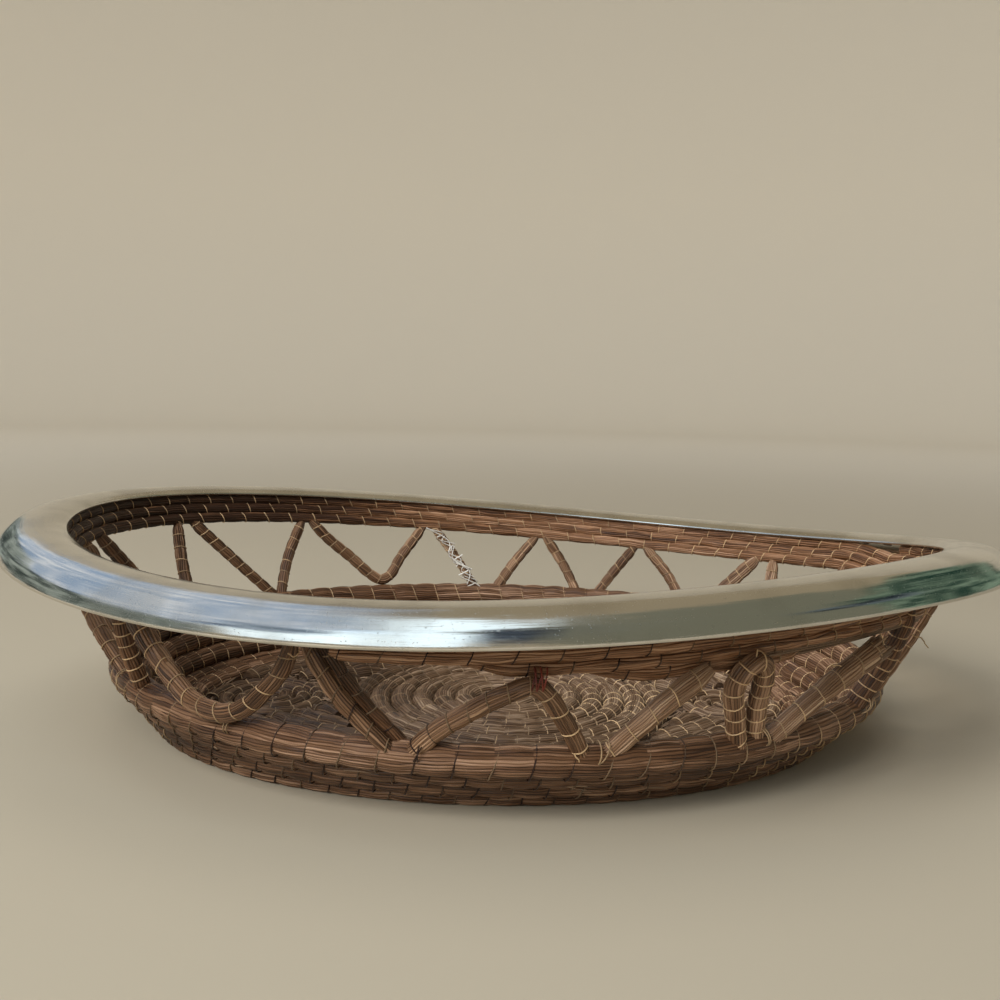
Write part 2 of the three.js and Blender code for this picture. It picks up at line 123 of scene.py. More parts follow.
class Wire:
    """A socket of a node tree. Sums written on wires add the Math nodes for them."""

    def __init__(self, tree, socket):
        self.tree = tree
        self.socket = socket

    def node(self, kind, settings=None, inputs=None, output=0):
        return add_node(self.tree, kind, settings, inputs, output)

    def feed(self, target, name):
        self.tree.links.new(self.socket, target.inputs[name])

    def math(self, operation, *others):
        return self.node("ShaderNodeMath", {"operation": operation}, dict(enumerate((self, *others))))

    def __add__(self, other):
        return self.math("ADD", other)

    def __radd__(self, other):
        return self.math("ADD", other)

    def __sub__(self, other):
        return self.math("SUBTRACT", other)

    def __rsub__(self, other):
        return (self * -1.0) + other

    def __mul__(self, other):
        return self.math("MULTIPLY", other)

    def __rmul__(self, other):
        return self.math("MULTIPLY", other)

    def __truediv__(self, other):
        return self.math("DIVIDE", other)

    def __abs__(self):
        return self.math("ABSOLUTE")

    def floor(self):
        return self.math("FLOOR")

    def fraction(self):
        return self.math("FRACT")

    def between(self, low, high):
        """0 below low, 1 above high, and even between them."""
        inputs = {"Value": self, "From Min": low, "From Max": high}
        return self.node("ShaderNodeMapRange", {"interpolation_type": "SMOOTHSTEP"}, inputs)


def find_socket(sockets, key):
    if isinstance(key, int):
        return sockets[key]
    for socket in sockets:
        if socket.identifier == key:
            return socket
    return sockets[key]


def add_node(tree, kind, settings=None, inputs=None, output=0):
    """Adds one node: its settings first, then the values or wires of its sockets."""
    made = tree.nodes.new(kind)
    for name, value in (settings or {}).items():
        if name == "stops":
            ramp = made.color_ramp
            while len(ramp.elements) < len(value):
                ramp.elements.new(0.5)
            for element, (place, tint) in zip(ramp.elements, value):
                element.position = place
                element.color = (*tint, 1.0)
        else:
            setattr(made, name, value)
    for key, value in (inputs or {}).items():
        socket = find_socket(made.inputs, key)
        if isinstance(value, Wire):
            tree.links.new(value.socket, socket)
        elif isinstance(value, tuple) and len(value) == 3 and socket.type == "RGBA":
            socket.default_value = (*value, 1.0)
        else:
            socket.default_value = value
    return Wire(tree, find_socket(made.outputs, output))


def other_output(wire, name):
    return Wire(wire.tree, find_socket(wire.socket.node.outputs, name))


def vector(tree, x, y, z):
    return add_node(tree, "ShaderNodeCombineXYZ", None, {"X": x, "Y": y, "Z": z})


def parts_of(wire):
    split = wire.node("ShaderNodeSeparateXYZ", None, {"Vector": wire}, "X")
    return split, other_output(split, "Y"), other_output(split, "Z")


def vector_math(operation, *values):
    tree = next(v.tree for v in values if isinstance(v, Wire))
    return add_node(tree, "ShaderNodeVectorMath", {"operation": operation}, dict(enumerate(values)))


def scaled(wire, amount):
    return wire.node("ShaderNodeVectorMath", {"operation": "SCALE"}, {"Vector": wire, "Scale": amount})


def noise(place, scale=1.0, detail=2.0, output="Fac"):
    return place.node("ShaderNodeTexNoise", None, {"Vector": place, "Scale": scale, "Detail": detail}, output)


def mixed(share, low, high):
    """A colour between two colours."""
    tree = next(v.tree for v in (share, low, high) if isinstance(v, Wire))
    settings = {"data_type": "RGBA", "blend_type": "MIX"}
    inputs = {"Factor_Float": share, "A_Color": low, "B_Color": high}
    return add_node(tree, "ShaderNodeMix", settings, inputs, "Result_Color")


def attribute(tree, name, output="Fac"):
    return add_node(tree, "ShaderNodeAttribute", {"attribute_name": name}, None, output)


def bump(shader, height, strength, distance):
    inputs = {"Height": height, "Strength": strength, "Distance": distance}
    height.node("ShaderNodeBump", None, inputs, "Normal").feed(shader, "Normal")


def new_surface(name):
    """A material with one Principled shader, its tree and the shader's node."""
    surface = bpy.data.materials.new(name)
    surface.use_nodes = True
    return surface, surface.node_tree, surface.node_tree.nodes["Principled BSDF"]


def colour(r, g, b):
    """A colour written in screen values, 0 to 255."""
    return tuple(((v / 255 + 0.055) / 1.055) ** 2.4 if v > 10 else v / 255 / 12.92 for v in (r, g, b))


def needle_surface(name, dark, middle, light):
    """Dry pine needles. Each has its own tone from stitch to stitch, with painted shade in the gaps between
    them.

    The attribute lay counts the needles round the bundle (x) and gives the way along it (y), phase
    counts the stitches along it, and the third attribute darkens the needles with painted shade: under
    the rim at the left end, on the left of the floor and on the front right of the wall.
    """
    surface, tree, shader = new_surface(name)
    lay = attribute(tree, "lay", "Vector")
    phase, age = attribute(tree, "phase"), attribute(tree, "age")
    level, along, seed = parts_of(lay)
    wander = noise(vector(tree, level * 0.2, along * 70.0, seed), detail=1.0) - 0.5
    around = level + wander * 2.2

    def per_needle(salt, part):
        place = vector(tree, around.floor(), part + seed, salt)
        settings = {"noise_dimensions": "3D"}
        return add_node(tree, "ShaderNodeTexWhiteNoise", settings, {"Vector": place}, "Value")

    side = abs(around.fraction() - 0.5)
    # Painted shade: each needle is darkened towards its edges, where the gaps between needles lie in shade.
    gap_shade = side.between(0.26, 0.5)
    needle_tone = per_needle(3.7, seed)
    stretch_tone = per_needle(8.1, phase.floor())
    grain = noise(vector(tree, around * 2.6, along * 95.0, seed), detail=3.0)
    broad = noise(vector(tree, around * 0.22, along * 16.0, seed), detail=1.0)
    tone = needle_tone * 0.26 + stretch_tone * 0.3 + grain * 0.5 + broad * 0.55
    tone = tone - 0.3 - gap_shade * 0.26 - age * 0.34
    stops = [(0.1, dark), (0.46, middle), (0.86, light)]
    tone.node("ShaderNodeValToRGB", {"stops": stops}, {"Fac": tone}, "Color").feed(shader, "Base Color")

    (stretch_tone * 0.16 + grain * 0.12 + (NEEDLE_ROUGHNESS - 0.14)).feed(shader, "Roughness")
    hair = noise(vector(tree, around * 7.0, along * 30.0, seed), detail=1.0)
    bump(shader, 1.0 - side * side * 4.0 + stretch_tone * 0.8 + hair * 0.5, 0.7, 0.00025)
    shader.inputs["Specular IOR Level"].default_value = 0.45
    return surface


def thread_surface(name, dark, light):
    """Waxed sewing thread, from old and dark brown to new and pale, as its attribute tone says."""
    surface, tree, shader = new_surface(name)
    tone = attribute(tree, "tone")
    place = add_node(tree, "ShaderNodeTexCoord", None, None, "Object")
    grain = noise(place, 900.0)
    share = (tone + grain * 0.3 - 0.15).math("MAXIMUM", 0.0).math("MINIMUM", 1.0)
    mixed(share, dark, light).feed(shader, "Base Color")
    bump(shader, grain, 0.4, 0.0002)
    shader.inputs["Roughness"].default_value = 0.5
    return surface


WALL_NEEDLES = needle_surface("wall_needles", colour(44, 25, 14), colour(104, 72, 48), colour(178, 142, 114))
SEWING_THREAD = thread_surface("sewing_thread", colour(40, 20, 12), colour(206, 172, 130))


def new_tree(name, sockets):
    """A Geometry Nodes tree with named inputs; returns it with its input wires by name."""
    tree = bpy.data.node_groups.new(name, "GeometryNodeTree")
    tree.interface.new_socket("Geometry", in_out="INPUT", socket_type="NodeSocketGeometry")
    for label, kind in sockets.items():
        tree.interface.new_socket(label, in_out="INPUT", socket_type=kind)
    tree.interface.new_socket("Geometry", in_out="OUTPUT", socket_type="NodeSocketGeometry")
    start = tree.nodes.new("NodeGroupInput")
    wires = {socket.name: Wire(tree, socket) for socket in start.outputs if socket.name}
    return tree, wires


def finish_tree(tree, geometry, material):
    whole = geometry.node("GeometryNodeRealizeInstances", None, {"Geometry": geometry})
    smooth_faces = whole.node("GeometryNodeSetShadeSmooth", None, {"Geometry": whole})
    coated = whole.node("GeometryNodeSetMaterial", None, {"Geometry": smooth_faces, "Material": material})
    end = tree.nodes.new("NodeGroupOutput")
    coated.feed(end, "Geometry")


def named(tree, name, kind="FLOAT"):
    return add_node(tree, "GeometryNodeInputNamedAttribute", {"data_type": kind}, {"Name": name}, "Attribute")


def store(geometry, name, value, kind="FLOAT"):
    settings = {"data_type": kind, "domain": "POINT"}
    inputs = {"Geometry": geometry, "Name": name, "Value": value}
    return geometry.node("GeometryNodeStoreNamedAttribute", settings, inputs)


def moved(geometry, offset):
    return geometry.node("GeometryNodeSetPosition", None, {"Geometry": geometry, "Offset": offset})


def route_curve(tree, geometry):
    """The route as a curve through its own points, its normal facing out of the basket."""
    curve = add_node(tree, "GeometryNodeMeshToCurve", None, {"Mesh": geometry}, "Curve")
    facing = named(tree, "facing", "FLOAT_VECTOR")
    inputs = {"Curve": curve, "Normal": facing}
    return add_node(tree, "GeometryNodeSetCurveNormal", {"mode": "FREE"}, inputs)


def circle(tree, sides):
    return add_node(tree, "GeometryNodeCurvePrimitiveCircle", None, {"Resolution": sides, "Radius": 1.0})


def swept(curve, profile, thick, caps=True):
    """A tube along a curve, as thick as the wire says."""
    inputs = {"Curve": curve, "Profile Curve": profile, "Scale": thick, "Fill Caps": caps}
    return curve.node("GeometryNodeCurveToMesh", None, inputs)


def above_ground(tree, geometry, lowest):
    """What would lie below the ground is pressed flat against it."""
    x, y, z = parts_of(add_node(tree, "GeometryNodeInputPosition"))
    pressed = vector(tree, x, y, z.math("MAXIMUM", lowest))
    return add_node(tree, "GeometryNodeSetPosition", None, {"Geometry": geometry, "Position": pressed})


def bundle_tree():
    """Needles laid round a route: a tube with a ridge for each needle, pinched at every stitch."""
    tree, given = new_tree("needle_bundle", {
        "Needles": "NodeSocketInt",
        "Points A Needle": "NodeSocketInt",
        "Relief": "NodeSocketFloat",
        "Pinch": "NodeSocketFloat",
        "Seed": "NodeSocketFloat",
        "Material": "NodeSocketMaterial",
    })
    curve = route_curve(tree, given["Geometry"])
    curve = store(curve, "along", add_node(tree, "GeometryNodeSplineParameter", None, None, "Length"))
    curve = store(curve, "course", add_node(tree, "GeometryNodeInputTangent"), "FLOAT_VECTOR")
    profile = circle(tree, given["Needles"] * given["Points A Needle"])
    count = add_node(tree, "GeometryNodeInputIndex") / given["Points A Needle"]
    tube = swept(curve, store(profile, "around", count + 0.001), named(tree, "thick"))

    around, along, seed = named(tree, "around"), named(tree, "along"), given["Seed"]
    tube = store(tube, "lay", vector(tree, around, along, seed), "FLOAT_VECTOR")
    phase = named(tree, "phase")
    pinched = 1.0 - abs(phase - phase.math("ROUND")).between(0.0, 0.3)
    ridge = (around * math.pi).math("SINE")
    proud = noise(vector(tree, around.floor() * 7.31, along * 24.0, seed), detail=1.0) - 0.5
    lumps = noise(vector(tree, around * 0.16, along * 55.0, seed + 40.0), detail=1.0) - 0.5
    relief = given["Relief"] * (1.0 - pinched * 0.55)
    rise = (abs(ridge) - 0.75) * relief + (proud * 1.5 + lumps * 1.3) * relief - pinched * given["Pinch"]
    normal = add_node(tree, "GeometryNodeInputNormal")
    sway = noise(vector(tree, around * 0.12, along * 45.0, seed + 9.0), detail=0.0) - 0.5
    sideways = vector_math("CROSS_PRODUCT", named(tree, "course", "FLOAT_VECTOR"), normal)
    offset = vector_math("ADD", scaled(normal, rise), scaled(sideways, sway * given["Relief"] * 4.5))
    tube = above_ground(tree, moved(tube, offset), 0.0)
    finish_tree(tree, tube, given["Material"])
    return tree


def stitch_tree():
    """One loop of thread round the bundle at every whole number of its phase."""
    tree, given = new_tree("row_stitches", {
        "Thread": "NodeSocketFloat",
        "Pinch": "NodeSocketFloat",
        "Reach Down": "NodeSocketFloat",
        "Seed": "NodeSocketInt",
        "Material": "NodeSocketMaterial",
    })
    curve = route_curve(tree, given["Geometry"])
    phase = named(tree, "phase")
    at_stitch = abs(phase - phase.math("ROUND")).math("LESS_THAN", 0.01)
    inputs = {"Primary Axis": add_node(tree, "GeometryNodeInputTangent"),
              "Secondary Axis": named(tree, "facing", "FLOAT_VECTOR")}
    settings = {"primary_axis": "Z", "secondary_axis": "X"}
    turned = add_node(tree, "FunctionNodeAxesToRotation", settings, inputs)

    def chance(spread, salt):
        inputs = {"Min_001": -spread, "Max_001": spread, "Seed": given["Seed"] + salt}
        return add_node(tree, "FunctionNodeRandomValue", {"data_type": "FLOAT"}, inputs, "Value_001")

    slant = named(tree, "slant") + chance(0.12, 0)
    inputs = {"Axis": (1.0, 0.0, 0.0), "Angle": slant}
    tilt = add_node(tree, "FunctionNodeAxisAngleToRotation", None, inputs)
    settings = {"rotation_space": "LOCAL"}
    inputs = {"Rotation": turned, "Rotate By": tilt}
    turned = add_node(tree, "FunctionNodeRotateRotation", settings, inputs)
    curve = store(curve, "tone", named(tree, "tone") + chance(0.2, 1))

    loop = circle(tree, 16)
    x, y, z = parts_of(add_node(tree, "GeometryNodeInputPosition"))
    lower = vector(tree, x, y * (given["Reach Down"] + 1.0) + given["Reach Down"], z)
    loop = loop.node("GeometryNodeSetPosition", None, {"Geometry": loop, "Position": lower})
    reach = named(tree, "thick") - given["Pinch"] + given["Thread"] * 0.45
    size = vector(tree, reach, reach / slant.math("COSINE"), reach)
    inputs = {"Points": curve, "Selection": at_stitch, "Instance": loop, "Rotation": turned, "Scale": size}
    loops = add_node(tree, "GeometryNodeInstanceOnPoints", None, inputs)
    loops = add_node(tree, "GeometryNodeRealizeInstances", None, {"Geometry": loops})
    position = add_node(tree, "GeometryNodeInputPosition")
    uneven = vector_math("SUBTRACT", noise(position, 300.0, 0.0, "Color"), (0.5, 0.5, 0.5))
    loops = moved(loops, scaled(uneven, 0.0006))
    threads = swept(loops, circle(tree, 4), given["Thread"], caps=False)
    finish_tree(tree, above_ground(tree, threads, 0.0001), given["Material"])
    return tree


BUNDLE = bundle_tree()
STITCHES = stitch_tree()


def placed(name, data):
    """A new object of the scene, at the origin."""
    thing = bpy.data.objects.new(name, data)
    bpy.context.scene.collection.objects.link(thing)
    return thing


def route_piece(name, routes):
    """An object with one chain of edges for each route and what the trees read at its points."""
    places, edges, floats, vectors = [], [], {}, []
    for route in routes:
        first = sum(len(p) for p in places)
        count = len(route["points"])
        places.append(route["points"])
        edges += [(first + i, first + i + 1) for i in range(count - 1)]
        vectors.append(route["facing"])
        for key in ("thick", "phase", "slant", "tone", "age"):
            floats.setdefault(key, []).append(np.broadcast_to(route[key], count))
    mesh = bpy.data.meshes.new(name)
    mesh.from_pydata(np.concatenate(places).tolist(), edges, [])
    for key, values in floats.items():
        layer = mesh.attributes.new(key, "FLOAT", "POINT")
        layer.data.foreach_set("value", np.concatenate(values).astype(np.float32))
    layer = mesh.attributes.new("facing", "FLOAT_VECTOR", "POINT")
    layer.data.foreach_set("vector", np.concatenate(vectors).astype(np.float32).ravel())
    return placed(name, mesh)


def grown(piece, tree, values):
    """Runs a tree on a piece with the values of its named inputs, and keeps the plain mesh."""
    modifier = piece.modifiers.new(tree.name, "NODES")
    modifier.node_group = tree
    for item in tree.interface.items_tree:
        if item.item_type == "SOCKET" and item.in_out == "INPUT" and item.name in values:
            modifier[item.identifier] = values[item.name]
    graph = bpy.context.evaluated_depsgraph_get()
    whole = piece.evaluated_get(graph)
    mesh = bpy.data.meshes.new_from_object(whole, preserve_all_data_layers=True, depsgraph=graph)
    piece.modifiers.clear()
    bare = piece.data
    piece.data = mesh
    bpy.data.meshes.remove(bare)
    mesh.name = piece.name
    return piece


def grid_faces(rows, count, closed_rows):
    """The faces between rows of points; each row is a closed ring, and the rows may be one too."""
    faces = []
    for i in range(rows if closed_rows else rows - 1):
        a, b = i * count, (i + 1) % rows * count
        faces += [(a + j, b + j, b + (j + 1) % count, a + (j + 1) % count) for j in range(count)]
    return faces


def way_along(points):
    return np.concatenate([[0], np.cumsum(np.linalg.norm(np.diff(points, axis=0), axis=1))])


# Where a bundle's sections lie between one stitch and the next
SECTION_PLACES = np.array([0.0, 0.14, 0.38, 0.62, 0.86])


def make_route(points, thick, phase, slant=0.0, tone=0.5, age=0.0, facing=None):
    """A bundle's route, with a point on every stitch and a few between them."""
    if facing is None:
        course = np.gradient(points, axis=0)
        facing = np.cross(course, (0, 0, 1))
    whole = np.arange(math.floor(phase[0]), math.ceil(phase[-1]))
    stops = (whole[:, None] + SECTION_PLACES).ravel()
    inside = stops[(stops > phase[0] + 0.05) & (stops < phase[-1] - 0.05)]
    stops = np.concatenate([[phase[0]], inside, [phase[-1]]])

    def at_stops(values):
        return np.interp(stops, phase, np.broadcast_to(values, len(phase)))

    return {
        "points": np.stack([at_stops(points[:, i]) for i in range(3)], axis=1),
        "facing": unit(np.stack([at_stops(facing[:, i]) for i in range(3)], axis=1)),
        "thick": at_stops(thick), "phase": stops, "slant": at_stops(slant), "tone": at_stops(tone),
        "age": at_stops(age),
    }


def stretch_of(route, low, high):
    """The part of a route between two of its stitches."""
    keep = (route["phase"] >= low) & (route["phase"] <= high)
    return {key: values[keep] for key, values in route.items()}


def bundle(name, route, nodes, material, needles=None, finer=4, relief=0.0003, seed=0.0, pinch=PINCH):
    """One needle bundle that stands for its plain solid."""
    piece = route_piece(name, [route])
    needles = needles or round(TAU * float(np.max(route["thick"])) / NEEDLE_WIDTH)
    grown(piece, BUNDLE, {
        "Needles": needles, "Points A Needle": finer, "Relief": relief,
        "Pinch": pinch, "Seed": seed, "Material": material,
    })
    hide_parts(*nodes)
    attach(piece, "root")
    return piece


def stitches(name, routes, thread=THREAD, down=0.0, seed=0, pinch=PINCH):
    """All the loops of thread round one or more bundles."""
    piece = route_piece(name, routes)
    grown(piece, STITCHES, {
        "Thread": thread, "Pinch": pinch, "Reach Down": down, "Seed": seed, "Material": SEWING_THREAD,
    })
    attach(piece, "root")
    return piece


# How far from its middle the painted shade at the left end reaches, in degrees
SHADE_SPREAD = 70


def front_share(angle):
    """1 at the middle of the front, 0 from the ends of the oval backwards."""
    return smooth(-np.sin(angle) * 1.4)


def left_end_shade(angle, darkest):
    """Painted shade at the left end of the basket, which lies in the rim's shadow; darkest is the angle of
    its middle in degrees.
    """
    apart = abs((np.degrees(angle) - darkest + 180) % 360 - 180)
    return smooth(1.4 * (1 - apart / SHADE_SPREAD))


def wall_route():
    turns = np.linspace(0, WALL_TURNS, WALL_SAMPLES)
    angle = WALL_START + turns * TAU
    level = row_level(turns, WALL_CLIMB)
    ring = smooth(level - RING_LEVEL + 1)
    thick = blend(ROW_RADIUS * ROW_FULLNESS, RING_RADIUS * RING_FULLNESS, ring)
    right = smooth(np.cos(angle) * 1.8 - 0.35)
    left = smooth(-np.cos(angle) * 1.8 - 0.9)
    phase = WALL_STITCHES_PER_TURN * turns
    tone = 0.6 - 0.55 * front_share(angle) + 0.5 * right + 0.25 * left
    # Painted shade: darker at the left end, in the rim's shadow, and on the front right, turned from the
    # light.
    age = 0.55 * left_end_shade(angle, 180) + 0.25 * smooth(np.cos(angle - math.radians(310)) * 3 - 2)
    slant = -0.3 + 0.55 * right
    return make_route(wall_point(angle, level), thick, phase, slant, tone, age)


lower_wall = wall_route()
wall_cuts = [0, 2 * WALL_STITCHES_PER_TURN, 4 * WALL_STITCHES_PER_TURN, math.inf]
for number, part in enumerate(("floor_edge", "lower_wall", "ring")):
    stretch = stretch_of(lower_wall, wall_cuts[number], wall_cuts[number + 1] + 0.5)
    bundle(part + "_needles", stretch, ["lower_wall_winding"], WALL_NEEDLES,
           needles=RING_NEEDLES if part == "ring" else WALL_ROW_NEEDLES, seed=1.7 * number)
stitches("lower_wall_stitches", [lower_wall], down=0.1)

# Floor coils: a large round coil in the middle and a finer one at each end, each one bundle wound
# outwards from its eye and sewn turn to turn.
COIL_SHIFT = 0.004
COIL_GAP = 0.0006
END_COIL_RADIUS = 0.0029
END_COIL_PITCH = 0.0066
EYE_SHARE = 1.05
ROW_END_SHARE = 0.7
COIL_STITCH_SPACING = 0.0073
FLOOR_SLANT = -0.3
COIL_SAMPLES = 2400
CENTRE_COIL_EDGE = FOOT_HALF_WIDTH - 2 * ROW_PITCH - ROW_RADIUS - COIL_GAP
END_COIL_OUTSIDE = FOOT_HALF_LENGTH - ROW_PITCH - ROW_RADIUS - COIL_GAP
FLOOR_NEEDLES = needle_surface(
    "floor_needles", colour(50, 33, 20), colour(102, 76, 54), colour(168, 142, 116))


def end_coil(side):
    inside = CENTRE_COIL_EDGE + COIL_GAP + side * COIL_SHIFT
    edge = (END_COIL_OUTSIDE - inside) / 2
    return side * (inside + edge), edge, END_COIL_RADIUS, END_COIL_PITCH, 0.0 if side > 0 else math.pi


COILS = {
    "floor_centre_coil": (COIL_SHIFT, CENTRE_COIL_EDGE, ROW_RADIUS, ROW_PITCH, math.pi / 2),
    "floor_left_coil": end_coil(-1),
    "floor_right_coil": end_coil(1),
}


def floor_tone(points):
    """The floor was sewn with paler thread towards the right."""
    return blend(0.35, 0.8, smooth(points[:, 0] / 0.09 + 0.4))


def floor_shade(points):
    """Painted shade: darker from the middle towards the left, where the rim shades the floor."""
    return 0.75 * smooth(-points[:, 0] / 0.04 - 0.7)


def coil_route(centre, edge, radius, pitch, end):
    turns_in_all = (edge - radius * (1 + EYE_SHARE)) / pitch
    turns = np.linspace(0, turns_in_all, COIL_SAMPLES)
    angle = end + (turns - turns_in_all) * TAU
    reach = radius * EYE_SHARE + pitch * turns
    x = FOOT_SHIFT + centre + reach * np.cos(angle)
    height = np.full_like(x, radius * (1 - 2 * FLAT_SHARE))
    points = np.stack([x, reach * np.sin(angle), height], axis=1)
    thick = radius * blend(ROW_END_SHARE, 1.0, smooth(turns)) * ROW_FULLNESS
    phase = way_along(points) / COIL_STITCH_SPACING
    return make_route(points, thick, phase, FLOOR_SLANT, floor_tone(points), floor_shade(points))


for number, (name, sizes) in enumerate(COILS.items()):
    route = coil_route(*sizes)
    bundle(name + "_needles", route, [name], FLOOR_NEEDLES, finer=3, seed=2.0 + number)
    stitches(name + "_stitches", [route], seed=10 + number)

# Short floor rows: straight-laid bundles that fill the floor between the coils and the wall's first
# row. They follow the outline and stop where they meet a coil.
SHORTEST_ROW = 0.009
SHORT_ROWS = range(2, 7)
ROW_SAMPLES = 360
ROW_POINTS = 300
ROW_STITCH_SPACING = 0.0078
ROW_END_TAPER = 0.006
ROOM_NEEDED = 0.99 * (ROW_RADIUS + COIL_GAP)


def floor_row_point(row, angle):
    return beside_oval(FOOT_HALF_LENGTH, FOOT_HALF_WIDTH, -row * ROW_PITCH, angle)


def room_beside(coil, point):
    centre, edge, _, pitch, end = coil
    x = point[0] - centre
    distance = math.hypot(x, point[1])
    spread = (ROW_RADIUS + COIL_GAP) / distance
    around = [(end - math.atan2(point[1], x) - shift) % TAU for shift in (-spread, 0, spread)]
    return distance - edge + min(around) * pitch / TAU


def free_stretches(row, side):
    stretches, opened = [], None
    for i in range(ROW_SAMPLES + 1):
        angle = side * i * math.pi / ROW_SAMPLES
        point = floor_row_point(row, np.array(angle))
        if all(room_beside(coil, point) > ROOM_NEEDED for coil in COILS.values()):
            opened = opened or [angle, angle]
            opened[1] = angle
        elif opened:
            ends = floor_row_point(row, np.array(opened))
            if np.linalg.norm(ends[1] - ends[0]) > SHORTEST_ROW:
                stretches.append(opened)
            opened = None
    return stretches


short_rows = []
for place, side in (("back", 1), ("front", -1)):
    for row in SHORT_ROWS:
        for i, (start, stop) in enumerate(free_stretches(row, side)):
            points = floor_row_point(row, np.linspace(start, stop, ROW_POINTS))
            points[:, 0] += FOOT_SHIFT
            points[:, 2] = FLOOR_HEIGHT
            length = way_along(points)
            inward = smooth(np.minimum(length, length[-1] - length) / ROW_END_TAPER)
            thick = ROW_RADIUS * ROW_FULLNESS * blend(ROW_END_SHARE, 1.0, inward)
            phase = length / ROW_STITCH_SPACING + 0.3 * row
            route = make_route(points, thick, phase, FLOOR_SLANT, floor_tone(points), floor_shade(points))
            short_rows.append(route)
            name = f"floor_row_{row}_{place}_{i + 1}"
            bundle(name + "_needles", route, [name], FLOOR_NEEDLES,
                   finer=3, seed=5.0 + 0.37 * len(short_rows))
stitches("floor_row_stitches", short_rows, seed=20)

# Floor filling: loose needles tucked lengthwise under and between the rows, where the coils leave
# openings. They are thin, lie nearly flat and are held only by the stitches.
FILLING_COUNT = 1500
EYE_FILLING_COUNT = 16
LOOSE_NEEDLE = thread_surface("loose_needles", colour(58, 38, 26), colour(158, 130, 104))


def strand_tree():
    """A thin round strand along each route."""
    tree, given = new_tree("strands", {"Sides": "NodeSocketInt", "Material": "NodeSocketMaterial"})
    curve = route_curve(tree, given["Geometry"])
    tube = swept(curve, circle(tree, given["Sides"]), named(tree, "thick"))
    finish_tree(tree, above_ground(tree, tube, 0.0), given["Material"])
    return tree


STRANDS = strand_tree()


def strand(points, thick, tone):
    """The route of one strand; thick is its radius, or its radius at every point."""
    points = np.asarray(points, float)
    facing = unit(np.cross(np.gradient(points, axis=0), (0.31, 0.47, 0.83)))
    rest = {"phase": 0.0, "slant": 0.0, "age": 0.0}
    return {"points": points, "facing": facing, "thick": thick, "tone": tone, **rest}


def strands(name, routes, material, sides=4):
    piece = route_piece(name, routes)
    grown(piece, STRANDS, {"Sides": sides, "Material": material})
    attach(piece, "root")
    return piece


def lying_needle(middle, heading, half, chance):
    ahead = np.array([math.cos(heading), math.sin(heading), chance.normal(0, 0.03)])
    aside = np.array([-ahead[1], ahead[0], 0])
    way = np.linspace(-1, 1, 5)[:, None]
    points = middle + ahead * way * half + aside * way ** 2 * chance.normal(0, 0.0012)
    points[:, 2] = np.clip(points[:, 2], 0.0005, 0.0052)
    return strand(points, chance.uniform(0.0003, 0.00048), chance.uniform(0.1, 0.9))


def filling_needle(chance):
    """A needle that lies along the oval, inside the outermost row and outside the coils."""
    while True:
        angle = chance.uniform(0, TAU)
        inside = -chance.uniform(1.2, 9.4) * ROW_PITCH
        middle = beside_oval(FOOT_HALF_LENGTH, FOOT_HALF_WIDTH, inside, np.array(angle))
        if all(room_beside(coil, middle) > -0.002 for coil in COILS.values()):
            break
    middle += (FOOT_SHIFT, 0, chance.uniform(0.0012, 0.0042))
    heading = math.atan2(FOOT_HALF_WIDTH * math.cos(angle), -FOOT_HALF_LENGTH * math.sin(angle))
    return lying_needle(middle, heading + chance.normal(0, 0.22), chance.uniform(0.006, 0.015), chance)


filling_chance = np.random.default_rng(4)
filling = [filling_needle(filling_chance) for _ in range(FILLING_COUNT)]
for centre, *_ in COILS.values():
    for _ in range(EYE_FILLING_COUNT):
        eye = np.array([FOOT_SHIFT + centre, 0, 0.003]) + filling_chance.normal(0, 0.0008, 3)
        filling.append(lying_needle(eye, filling_chance.uniform(0, TAU), 0.003, filling_chance))
strands("floor_filling", filling, LOOSE_NEEDLE, sides=3)

# Upper band: one bundle of thinner rows wound under the rim, which is bent, so the band rises and
# falls with it. Its top row is hidden by the flange.
RIM_HALF_LENGTH = 0.175
RIM_HALF_WIDTH = 0.118
RIM_HEIGHT = 0.0752
RIM_WAVES = ((-0.0035, -0.0016), (0.0032, -0.0053), (-0.0006, -0.0008))
SHEET = 0.001
BAND_ROW_RADIUS = 0.0022
BAND_FULLNESS = 1.15
BAND_PITCH = 0.0044
BAND_PINCH = 0.0003
BAND_LEAN = 0.0017
BAND_RELIEF = 0.00028
BAND_THREAD = 0.00024
BAND_ROWS = 4
BAND_INSET = -0.0017
BAND_SAG = 0.04
BAND_STEP = math.radians(25)
BAND_BEGINS = math.radians(250)
BAND_CLIMB = 15 / 360
BAND_STITCHES_PER_TURN = 79.27
BAND_SAMPLES = 4200
BAND_TOP_SEAT = SHEET + 0.0003 + BAND_ROW_RADIUS * math.cos(math.pi / 6)
BAND_NEEDLES = needle_surface("band_needles", colour(50, 29, 17), colour(134, 93, 62), colour(200, 160, 128))


def rim_height(angle):
    return waved(RIM_HEIGHT, RIM_WAVES, angle)


def band_point(angle, level):
    below = BAND_TOP_SEAT + (BAND_ROWS - 1 - level) * BAND_PITCH * (1 - BAND_SAG * np.sin(angle))
    place = beside_oval(RIM_HALF_LENGTH, RIM_HALF_WIDTH, BAND_INSET + BAND_LEAN * level, angle)
    place[..., 2] = rim_height(angle) - below
    return place


def band_route(angle, level, phase, thick):
    right = smooth(np.cos(angle) * 1.7 - 0.25)
    left = smooth(-np.cos(angle) * 1.7 - 0.7)
    tone = 0.55 - 0.55 * front_share(angle) + 0.6 * right + 0.25 * left
    # Painted shade under the flange at the left end.
    age = 1.4 * left_end_shade(angle, 160)
    return make_route(band_point(angle, level), thick, phase, -0.42 + 0.8 * right, tone, age)


